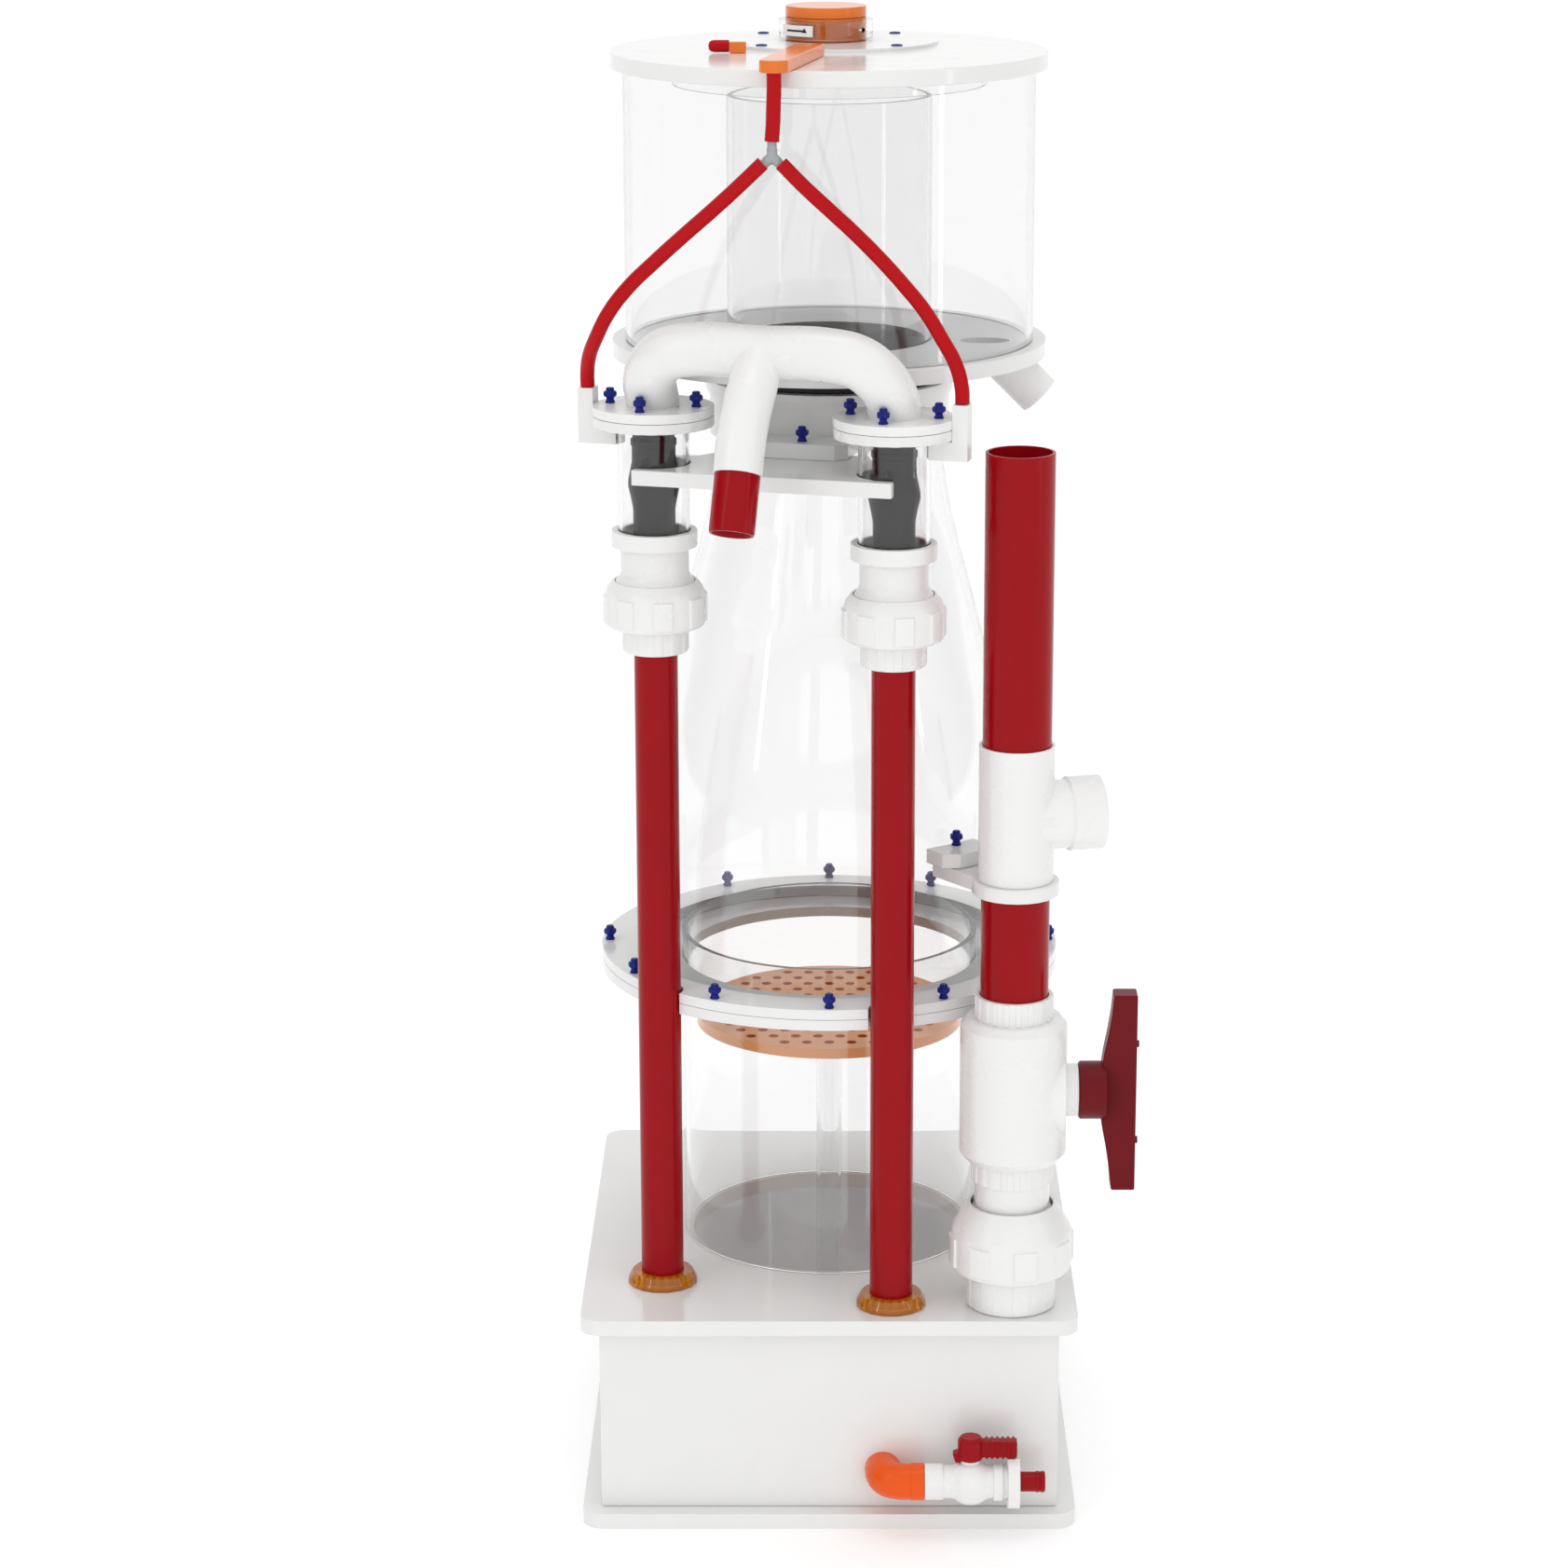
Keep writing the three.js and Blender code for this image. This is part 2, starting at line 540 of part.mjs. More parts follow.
// ---------- lid, air valve, air bar, port ----------
function buildLid() {
  add(skimmer, 'lid', disc(LID_R, LID_Z, LID_TOP_Z, SIDES_LARGE)
    .add(disc(LID_HATCH_R, LID_Z + 1, HATCH_TOP_Z, SIDES_LARGE, 0, HATCH_BACK)), whiteAcrylic);
  add(skimmer, 'lid_ring', ring(LID_RING_R - LID_RING_WALL, LID_RING_R, LID_Z - LID_RING_DROP,
    LID_Z - FIT, SIDES_LARGE), clearAcrylic);

  const bodyZ = HATCH_TOP_Z + FIT;
  const bodyTop = bodyZ + AIR_BODY_HEIGHT;
  const slotMiddle = bodyZ + AIR_BODY_HEIGHT / 2;
  const slot = (low, high) => valveWindow(low, high, slotMiddle);
  add(skimmer, 'air_valve_body', ring(AIR_BODY_R - AIR_BODY_WALL, AIR_BODY_R, bodyZ, bodyTop, 24,
    VALVE_X, HATCH_BACK).subtract(slot(-90, -50)), orangeAcrylic);
  const ringZ = slotMiddle - AIR_RING_HEIGHT / 2;
  add(skimmer, 'air_valve_ring', ring(AIR_BODY_R + RUN, AIR_RING_R, ringZ, ringZ + AIR_RING_HEIGHT, 24,
    VALVE_X, HATCH_BACK).subtract(slot(-105, -50)), clearAcrylic);
  add(skimmer, 'air_valve_cap', disc(AIR_BODY_R, bodyTop + FIT, bodyTop + FIT + AIR_CAP_THICK, 24,
    VALVE_X, HATCH_BACK), orangeAcrylic);

  const barZ = LID_TOP_Z + FIT;
  add(skimmer, 'air_bar', sliced(barShape(), barZ, barZ + BAR_THICK, 5), orangeAcrylic);

  const [portX, portY] = PORT_AT;
  const [length, width, height] = PORT_BLOCK;
  const portZ = LID_TOP_Z + FIT;
  add(skimmer, 'port_block', block([portX - length / 2, portY - width / 2, portZ],
    [portX + length / 2, portY + width / 2, portZ + height]), orangeAcrylic);
  const capStart = portX - length / 2 - FIT;
  const capZ = portZ + PORT_CAP_R + RUN;
  add(skimmer, 'port_cap', bar(PORT_CAP_R, [capStart, portY, capZ],
    [capStart - PORT_CAP_LENGTH, portY, capZ], 12), redSilicone);
}

// A wedge through the air valve's wall between two azimuths.
function valveWindow(low, high, middle) {
  const points = [[0, 0]];
  for (const angle of [low, (low + high) / 2, high]) {
    const radians = THREE.MathUtils.degToRad(angle);
    points.push([60 * Math.cos(radians), 60 * Math.sin(radians)]);
  }
  const shape = outlineShape(points.map(([x, y]) => [x + VALVE_X, y + HATCH_BACK]));
  return sliced(shape, middle - AIR_SLOT_HEIGHT / 2, middle + AIR_SLOT_HEIGHT / 2);
}

// The air bar's outline: a straight back end and a round front end.
function barShape() {
  const [startX, startY] = BAR_START;
  const [endX, endY] = BAR_END;
  const angle = Math.atan2(endY - startY, endX - startX);
  const half = BAR_WIDTH / 2;
  const [c, s] = [Math.cos(angle), Math.sin(angle)];
  const shape = new THREE.Shape();
  shape.moveTo(startX + half * s, startY - half * c);
  shape.lineTo(endX + half * s, endY - half * c);
  shape.absarc(endX, endY, half, angle - Math.PI / 2, angle + Math.PI / 2, false);
  shape.lineTo(startX - half * s, startY + half * c);
  return shape;
}

// ---------- air hoses ----------
const JUNCTION = [-50, -213, 1283];
const FEED_ROUTE = [
  [-48, -212, 1355], [-48, -212.5, 1340], [-48.5, -213, 1325], [-49, -213, 1310], [-50, -213, 1296],
];
const LEFT_ROUTE = [
  [-58, -214, 1277], [-78, -214, 1258], [-102, -212, 1236], [-128, -208, 1213], [-154, -202, 1189],
  [-178, -193, 1165], [-196, -183, 1141], [-208, -171, 1117], [-215.5, -155, 1097],
  [-218, -144, 1080], [-218, -142.8, 1068.2],
];
const RIGHT_ROUTE = [
  [-42, -214, 1277], [-22, -216, 1257], [1, -218, 1236], [24, -220, 1215], [46, -221.5, 1193],
  [66, -223, 1171], [84, -225, 1149], [99, -227.5, 1125], [112, -230, 1101],
  [117, -232, 1081], [117.6, -232.4, 1068.2],
];

function buildHoses() {
  add(skimmer, 'feed_hose', swept(HOSE_R, FEED_ROUTE, 5, SIDES_HOSE), redSilicone);
  const [x, y, z] = JUNCTION;
  const arm = (dx, dz, length) => bar(5, [x, y, z], [x + dx * length, y, z + dz * length], SIDES_HOSE);
  const diagonal = Math.SQRT1_2;
  add(skimmer, 'y_connector', arm(0, 1, 12.5).add(arm(-diagonal, -diagonal, 7.5))
    .add(arm(diagonal, -diagonal, 7.5)), greyPlastic);
  add(skimmer, 'hose_left', swept(HOSE_R, LEFT_ROUTE, 14, SIDES_HOSE), redSilicone);
  add(skimmer, 'hose_right', swept(HOSE_R, RIGHT_ROUTE, 14, SIDES_HOSE), redSilicone);
}

// A bore's radius that lets a round piece of the given radius turn in it, facets and all.
function turningBore(radius) {
  return radius / Math.cos(Math.PI / SIDES_PIPE) + FIT;
}

// ---------- pipe unions ----------
// Three pieces on one vertical axis: the end that is glued to the pipe, the loose nut that hangs on
// the end's collar, and the threaded tail above.
function union(size, x, y) {
  const { endBottom, nutBottom, nutTop, split, bore, endR, collarR, nutR } = size;
  const lip = nutBottom + 8;
  const end = turned([
    [bore, endBottom], [endR, endBottom], [endR, lip + RUN], [collarR, lip + RUN], [collarR, split],
    [bore, split],
  ], SIDES_PIPE, x, y);
  const [neckBore, collarBore] = [turningBore(endR), turningBore(collarR)];
  const nut = turned([
    [neckBore, nutBottom], [nutR - 5, nutBottom], [nutR, nutBottom + 8], [nutR, nutTop - 8],
    [nutR - 7, nutTop], [collarBore, nutTop], [collarBore, lip], [neckBore, lip],
  ], SIDES_PIPE, x, y);
  return { end, nut };
}

const INLET_UNION = {
  endBottom: INLET_PIPE_TOP - INLET_SOCKET_DEPTH, nutBottom: INLET_PIPE_TOP,
  nutTop: INLET_PIPE_TOP + INLET_NUT_HEIGHT, split: INLET_PIPE_TOP + INLET_SPLIT,
  bore: INLET_PIPE_R + RUN, endR: INLET_PIPE_R + INLET_SOCKET_WALL,
  collarR: INLET_PIPE_R + INLET_COLLAR_WALL, nutR: INLET_PIPE_R + INLET_NUT_WALL,
};
const OUTLET_UNION = {
  endBottom: DECK_Z + FIT, nutBottom: DECK_Z + OUTLET_SOCKET_HEIGHT,
  nutTop: DECK_Z + OUTLET_SOCKET_HEIGHT + OUTLET_NUT_HEIGHT, split: DECK_Z + OUTLET_SPLIT,
  bore: OUTLET_BORE_R, endR: OUTLET_SOCKET_R, collarR: OUTLET_COLLAR_R, nutR: OUTLET_NUT_R,
};

// ---------- injector columns ----------
function buildColumn(side, x) {
  const y = -COLUMN_FRONT;
  const outward = side === 'left' ? -1 : 1;
  const name = (piece) => `${piece}_${side}`;

  const footR = INLET_PIPE_R + BULKHEAD_WALL;
  add(injectors, name('bulkhead'), turned([
    [INLET_PIPE_R + RUN, DECK_Z + FIT], [footR, DECK_Z + FIT], [footR, DECK_Z + BULKHEAD_THICK / 3],
    [footR - 5, DECK_Z + BULKHEAD_THICK], [INLET_PIPE_R + RUN, DECK_Z + BULKHEAD_THICK],
  ], SIDES_PIPE, x, y), orangeAcrylic);
  add(injectors, name('inlet_pipe'), ring(INLET_PIPE_R - INLET_PIPE_WALL, INLET_PIPE_R,
    TOP_PLATE_Z, INLET_PIPE_TOP, SIDES_PIPE, x, y), redPvc);

  const { end, nut } = union(INLET_UNION, x, y);
  add(injectors, name('union_end'), end, whitePvc);
  add(injectors, name('union_nut'), nut, whitePvc);
  const { split, nutTop, collarR } = INLET_UNION;
  const tailR = CHAMBER_R - CHAMBER_TAIL_STEP;
  const tailBore = INJECTOR_FOOT_R - INJECTOR_SEAT;
  add(injectors, name('union_tail'), turned([
    [tailBore, split + FIT], [collarR, split + FIT], [collarR, nutTop - 1], [tailR, nutTop - 1],
    [tailR, CHAMBER_COLLAR_BOTTOM], [tailBore, CHAMBER_COLLAR_BOTTOM],
  ], SIDES_PIPE, x, y), whitePvc);

  const foot = CHAMBER_COLLAR_BOTTOM + FIT;
  add(injectors, name('chamber'), ring(CHAMBER_R - CHAMBER_WALL, CHAMBER_R, foot,
    CHAMBER_TOP - FIT, SIDES_PIPE, x, y), clearAcrylic);
  add(injectors, name('chamber_collar'), ring(CHAMBER_R + RUN, CHAMBER_COLLAR_R,
    CHAMBER_COLLAR_BOTTOM, CHAMBER_COLLAR_BOTTOM + CHAMBER_COLLAR_THICK, SIDES_PIPE, x, y), whitePvc);

  add(injectors, name('injector'), turned([
    [INJECTOR_BORE_R, foot], [INJECTOR_FOOT_R, foot], [INJECTOR_FOOT_R, foot + INJECTOR_FOOT_HEIGHT],
    [INJECTOR_BELLY_R, foot + INJECTOR_BELLY_HEIGHT], [INJECTOR_BELLY_R, foot + INJECTOR_BELLY_HEIGHT + 4],
    [INJECTOR_WAIST_R, foot + INJECTOR_WAIST_HEIGHT], [INJECTOR_HEAD_R, foot + INJECTOR_HEAD_HEIGHT],
    [INJECTOR_HEAD_R, CHAMBER_TOP - FIT], [INJECTOR_BORE_R, CHAMBER_TOP - FIT],
  ], SIDES_BORE, x, y), blackPlastic);

  // head: the chamber's flange with the air block glued to its side
  const blockLow = x + outward * (HEAD_R - 0.5);
  const blockHigh = blockLow + outward * AIR_BLOCK_WIDTH;
  const [near, far] = [Math.min(blockLow, blockHigh), Math.max(blockLow, blockHigh)];
  const headBottom = CHAMBER_TOP - HEAD_THICK;
  const armEnd = x + outward * (CHAMBER_R + RUN);
  const half = AIR_BLOCK_DEPTH / 2;
  const blockBottom = headBottom - AIR_BLOCK_DROP;
  const head = ring(CHAMBER_R + RUN, HEAD_R, headBottom, CHAMBER_TOP, 24, x, y)
    .add(block([near, y - half, blockBottom], [far, y + half, CHAMBER_TOP + AIR_BLOCK_RISE])
      .add(block([Math.min(armEnd, blockLow), y - half, blockBottom],
        [Math.max(armEnd, blockLow + outward), y + half, blockBottom + AIR_BLOCK_DEPTH])))
    .subtract(ring(HEAD_R - 10, HEAD_R + FIT, CHAMBER_TOP, CAP_TOP_Z + 1, 24, x, y));
  add(injectors, name('chamber_head'), head, whiteAcrylic);
}

// ---------- manifold and its barb ----------
function manifoldRoute() {
  const climb = (x, inward) => [
    [x, -COLUMN_FRONT, CAP_TOP_Z - 3],
    [x, -COLUMN_FRONT - 1, CAP_TOP_Z + 4],
    [x, -COLUMN_FRONT - 6, CAP_TOP_Z + 13],
    [x + 1.5 * inward, -COLUMN_FRONT - 15, CAP_TOP_Z + 24],
    [x + 9 * inward, -COLUMN_FRONT - 26, CAP_TOP_Z + 39],
    [x + 24 * inward, -COLUMN_FRONT - 0.9 * MANIFOLD_BOW, CAP_TOP_Z + 0.9 * MANIFOLD_RISE],
    [x + 48 * inward, -COLUMN_FRONT - MANIFOLD_BOW, CAP_TOP_Z + MANIFOLD_RISE],
  ];
  const middle = [0, -COLUMN_FRONT - MANIFOLD_BOW, CAP_TOP_Z + MANIFOLD_RISE];
  return [...climb(-COLUMN_X, 1), middle, ...climb(COLUMN_X, -1).reverse()];
}

function buildManifold() {
  const runY = -COLUMN_FRONT - MANIFOLD_BOW;
  const runZ = CAP_TOP_Z + MANIFOLD_RISE;
  const branch = [
    [0, runY, runZ], [0, runY - 20, runZ - 19], [0, runY - 47, runZ - 44], [0, runY - 65, runZ - 68],
    [0, runY - 76, runZ - 95],
  ];
  const bore = MANIFOLD_R - MANIFOLD_WALL;
  const capBottom = CHAMBER_TOP + FIT;
  let outer = swept(MANIFOLD_R, manifoldRoute(), 16, SIDES_PIPE)
    .add(swept(BRANCH_R, branch, 5, SIDES_PIPE));
  let inner = swept(bore, manifoldRoute(), 16, SIDES_BORE)
    .add(swept(BRANCH_R - MANIFOLD_WALL, [...branch, [0, runY - 76.5, runZ - 97]], 6, SIDES_BORE));
  for (const x of [-COLUMN_X, COLUMN_X]) {
    outer = outer.add(disc(HEAD_R, capBottom, CAP_TOP_Z, 24, x, -COLUMN_FRONT));
    inner = inner.add(disc(bore, capBottom - 1, CAP_TOP_Z - 1, SIDES_BORE, x, -COLUMN_FRONT));
  }
  add(injectors, 'manifold', outer.subtract(inner), whitePvc);

  const tilt = THREE.MathUtils.degToRad(BARB_TILT);
  const [startX, startY, startZ] = branch.at(-1);
  const at = (d) => [startX, startY - d * Math.sin(tilt), startZ - d * Math.cos(tilt)];
  const barb = bar(BARB_R, at(1), at(1 + BARB_LENGTH), SIDES_PIPE)
    .subtract(bar(BARB_R - BARB_WALL, at(0), at(BARB_LENGTH + 2), SIDES_PIPE));
  add(injectors, 'inlet_barb', barb, redPvc);
}

// Bracket bolted under the neck tab, with a half-round notch behind and in front of each chamber.
function buildWingBracket() {
  const top = SOCKET_BOTTOM_Z - FIT;
  const y = -COLUMN_FRONT;
  const [left, right] = [-COLUMN_X, COLUMN_X];
  const plate = sliced(outlineShape([
    [left - 8, y - 43], [right + 8, y - 43], [right + 8, y + 36], [right - 30, y + 42],
    [60, -118], [-60, -118], [left + 30, y + 42], [left - 8, y + 36],
  ]), top - WING_THICK, top);
  const notch = (x, outward) => disc(CHAMBER_R + 2 * RUN, top - 40, top + 10, 24, x, y)
    .add(block([Math.min(x, x + 60 * outward), y - CHAMBER_R - 2 * RUN, top - 40],
      [Math.max(x, x + 60 * outward), y + CHAMBER_R + 2 * RUN, top + 10]));
  add(injectors, 'wing_bracket', plate.subtract(notch(left, -1)).subtract(notch(right, 1))
    .subtract(disc(CONE_NECK_R + SOCKET_WALL + 8, top - 40, top + 10, SIDES_LARGE)), whiteAcrylic);
}

// ---------- outlet ----------
function buildOutlet() {
  const [x, y] = [OUTLET_X, OUTLET_Y];
  const { end, nut } = union(OUTLET_UNION, x, y);
  add(skimmer, 'outlet_socket', end, whitePvc);
  add(skimmer, 'outlet_nut', nut, whitePvc);

  const { split, nutTop, collarR } = OUTLET_UNION;
  const pipeSeat = VALVE_BODY_TOP - 13;
  const body = turned([
    [VALVE_BORE_R, split + FIT], [collarR, split + FIT], [collarR, nutTop - 1],
    [VALVE_TAIL_R, nutTop - 1], [VALVE_TAIL_R, VALVE_BODY_BOTTOM - VALVE_RIB_HEIGHT],
    [VALVE_RIB_R, VALVE_BODY_BOTTOM - VALVE_RIB_HEIGHT], [VALVE_RIB_R, VALVE_BODY_BOTTOM],
    [VALVE_BODY_R - VALVE_CHAMFER, VALVE_BODY_BOTTOM],
    [VALVE_BODY_R, VALVE_BODY_BOTTOM + VALVE_CHAMFER], [VALVE_BODY_R, VALVE_BODY_TOP - VALVE_CHAMFER],
    [VALVE_BODY_R - VALVE_CHAMFER, VALVE_BODY_TOP],
    [VALVE_COLLAR_R, VALVE_BODY_TOP], [VALVE_COLLAR_R, VALVE_COLLAR_TOP],
    [RISER_R + RUN, VALVE_COLLAR_TOP], [RISER_R + RUN, pipeSeat], [VALVE_BORE_R, pipeSeat],
  ], 20, x, y)
    .add(bar(VALVE_BOSS_R, [x + 44, y, VALVE_AXIS_Z], [x + VALVE_BOSS_REACH, y, VALVE_AXIS_Z], SIDES_PIPE))
    .subtract(toSolid(new THREE.SphereGeometry(VALVE_BALL_R + 4, 12, 8).rotateZ(Math.PI / 2)
      .translate(x, y, VALVE_AXIS_Z)))
    .subtract(bar(VALVE_STEM_R + RUN, [x, y, VALVE_AXIS_Z],
      [x + VALVE_BOSS_REACH + 5, y, VALVE_AXIS_Z], 12));
  add(skimmer, 'outlet_valve_body', body, whitePvc);

  // handle, stem and ball turn as one
  const hubStart = x + VALVE_BOSS_REACH + RUN;
  const hubEnd = hubStart + HUB_LENGTH;
  const half = HANDLE_LENGTH / 2;
  const arm = toSolid(new THREE.ExtrudeGeometry(outlineShape([
    [hubEnd - 1, -27], [hubEnd + 7, -half + 4], [hubEnd + 10, -half], [hubEnd + HANDLE_THICK, -half],
    [hubEnd + HANDLE_THICK, half], [hubEnd + 10, half], [hubEnd + 7, half - 4], [hubEnd - 1, 27],
  ]), { depth: HANDLE_WIDTH, bevelEnabled: false })
    .rotateX(Math.PI / 2).translate(0, y + HANDLE_WIDTH / 2, VALVE_AXIS_Z));
  const ball = toSolid(new THREE.SphereGeometry(VALVE_BALL_R, 12, 8).rotateZ(Math.PI / 2)
    .translate(x, y, VALVE_AXIS_Z))
    .subtract(bar(VALVE_BORE_R, [x, y, VALVE_AXIS_Z - 50], [x, y, VALVE_AXIS_Z + 50], 12));
  const turning = ball
    .add(bar(VALVE_STEM_R, [x + VALVE_BALL_R - 4, y, VALVE_AXIS_Z], [hubEnd, y, VALVE_AXIS_Z], 12))
    .add(bar(HUB_R, [hubStart, y, VALVE_AXIS_Z], [hubEnd, y, VALVE_AXIS_Z], SIDES_PIPE))
    .add(arm);
  add(skimmer, 'outlet_handle', turning, darkRedPlastic);

  const teeBottom = BRACKET_BOTTOM + BRACKET_THICK + FIT;
  const seat = 28;
  add(skimmer, 'riser_lower', ring(RISER_R - RISER_WALL, RISER_R, pipeSeat + FIT,
    teeBottom + seat - FIT, SIDES_PIPE, x, y), redPvc);
  add(skimmer, 'riser_upper', ring(RISER_R - RISER_WALL, RISER_R, TEE_TOP - seat + FIT, RISER_TOP,
    SIDES_PIPE, x, y), redPvc);
  const turn = THREE.MathUtils.degToRad(TEE_BRANCH_TURN);
  const reach = (d) => [x + d * Math.cos(turn), y + d * Math.sin(turn), TEE_BRANCH_Z];
  const tee = disc(TEE_R, teeBottom, TEE_TOP, SIDES_PIPE, x, y)
    .add(bar(TEE_BRANCH_R, reach(0), reach(TEE_BRANCH_LENGTH), SIDES_PIPE))
    .subtract(disc(RISER_R + RUN, teeBottom - 1, teeBottom + seat, SIDES_PIPE, x, y))
    .subtract(disc(RISER_R + RUN, TEE_TOP - seat, TEE_TOP + 1, SIDES_PIPE, x, y))
    .subtract(disc(RISER_R - RISER_WALL, teeBottom, TEE_TOP, SIDES_PIPE, x, y))
    .subtract(bar(TEE_BRANCH_R - 4, reach(0), reach(TEE_BRANCH_LENGTH + 2), SIDES_PIPE));
  add(skimmer, 'tee', tee, whitePvc);

  // bracket: a ring round the riser and an arm that runs under the tab on the cone's skirt
  const azimuth = Math.atan2(y + 10, x - 14);
  const bracketTop = BRACKET_BOTTOM + BRACKET_THICK;
  const clear = disc(RISER_R + 2 * RUN, BRACKET_BOTTOM - 1, bracketTop + 1, SIDES_PIPE, x, y);
  const bracket = disc(BRACKET_RING_R, BRACKET_BOTTOM, bracketTop, 24, x, y)
    .add(turnedPlate(CONE_R - 14, Math.hypot(x, y) - 6, TAB_WIDTH - 12, azimuth, BRACKET_BOTTOM,
      bracketTop))
    .subtract(clear)
    .subtract(disc(CONE_R + 2, BRACKET_BOTTOM - 1, bracketTop + 1, SIDES_LARGE * 2));
  add(skimmer, 'riser_bracket', bracket, whiteAcrylic);
}

// ---------- drain cock ----------
function buildDrain() {
  const [x, y, z] = [DRAIN_X, DRAIN_Y, DRAIN_Z];
  const wallY = -BOX_DEPTH / 2 + BOX_WALL / 2;
  const bend = 18;
  const route = [
    [x, wallY, z], [x, y + bend + 3, z], [x + bend * 0.1, y + bend * 0.55, z],
    [x + bend * 0.3, y + bend * 0.3, z], [x + bend * 0.55, y + bend * 0.1, z], [x + bend + 3, y, z],
    [DRAIN_ELBOW_END - FIT, y, z],
  ];
  const longer = [[x, wallY + 2, z], ...route.slice(1, -1), [DRAIN_ELBOW_END + 2, y, z]];
  add(skimmer, 'drain_elbow', swept(DRAIN_R, route, 9, SIDES_PIPE)
    .subtract(swept(DRAIN_R - DRAIN_WALL, longer, 9, SIDES_BORE)), orangePlastic);

  const along = (radius, from, to, sides = SIDES_PIPE) => bar(radius, [from, y, z], [to, y, z], sides);
  const ballSphere = (radius) => toSolid(new THREE.SphereGeometry(radius, 12, 6).rotateX(Math.PI / 2)
    .translate(DRAIN_BALL_X, y, z));
  const stemTop = z + DRAIN_BALL_R + 1;
  const body = along(DRAIN_R, DRAIN_ELBOW_END, DRAIN_BODY_END)
    .add(ballSphere(DRAIN_BALL_R))
    .add(along(DRAIN_NUT_R, DRAIN_BODY_END - 1, DRAIN_NUT_END, 12))
    .add(bar(9, [DRAIN_BALL_X, y, z], [DRAIN_BALL_X, y, stemTop], 12))
    .subtract(along(DRAIN_BORE_R, DRAIN_ELBOW_END - 1, DRAIN_NUT_END + 1, SIDES_BORE))
    .subtract(ballSphere(15))
    .subtract(bar(DRAIN_STEM_R + RUN, [DRAIN_BALL_X, y, z], [DRAIN_BALL_X, y, stemTop + 5], 10));
  add(skimmer, 'drain_valve_body', body, whitePvc);
  add(skimmer, 'drain_barb', along(DRAIN_BARB_R, DRAIN_NUT_END + FIT, DRAIN_BARB_END, 12)
    .subtract(along(DRAIN_BARB_R - 2.5, DRAIN_NUT_END, DRAIN_BARB_END + 1, 10)), redPvc);

  // lever, stem and ball turn as one
  const leverZ = stemTop + FIT;
  const lever = bar(12, [DRAIN_BALL_X, y, leverZ], [DRAIN_BALL_X, y, leverZ + LEVER_THICK + 3], 12)
    .add(block([DRAIN_BALL_X, y - 6, leverZ + 2], [DRAIN_BALL_X + 44, y + 6, leverZ + LEVER_THICK]))
    .add(block([DRAIN_BALL_X - 17, y - 6, leverZ + 1], [DRAIN_BALL_X, y + 6, leverZ + LEVER_THICK - 2]))
    .add(bar(DRAIN_STEM_R, [DRAIN_BALL_X, y, z], [DRAIN_BALL_X, y, leverZ + 1], 10))
    .add(ballSphere(13).subtract(along(6, DRAIN_BALL_X - 20, DRAIN_BALL_X + 20, 8)));
  add(skimmer, 'drain_lever', lever, redPvc);
}

buildSump();
buildReactionTube();
buildCone();
buildCup();
buildLid();
buildHoses();
buildColumn('left', -COLUMN_X);
buildColumn('right', COLUMN_X);
buildManifold();
buildWingBracket();
buildOutlet();
buildDrain();

export default skimmer;
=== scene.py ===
"""Pond protein skimmer: the finished look of the machine, built round its fixed frame."""

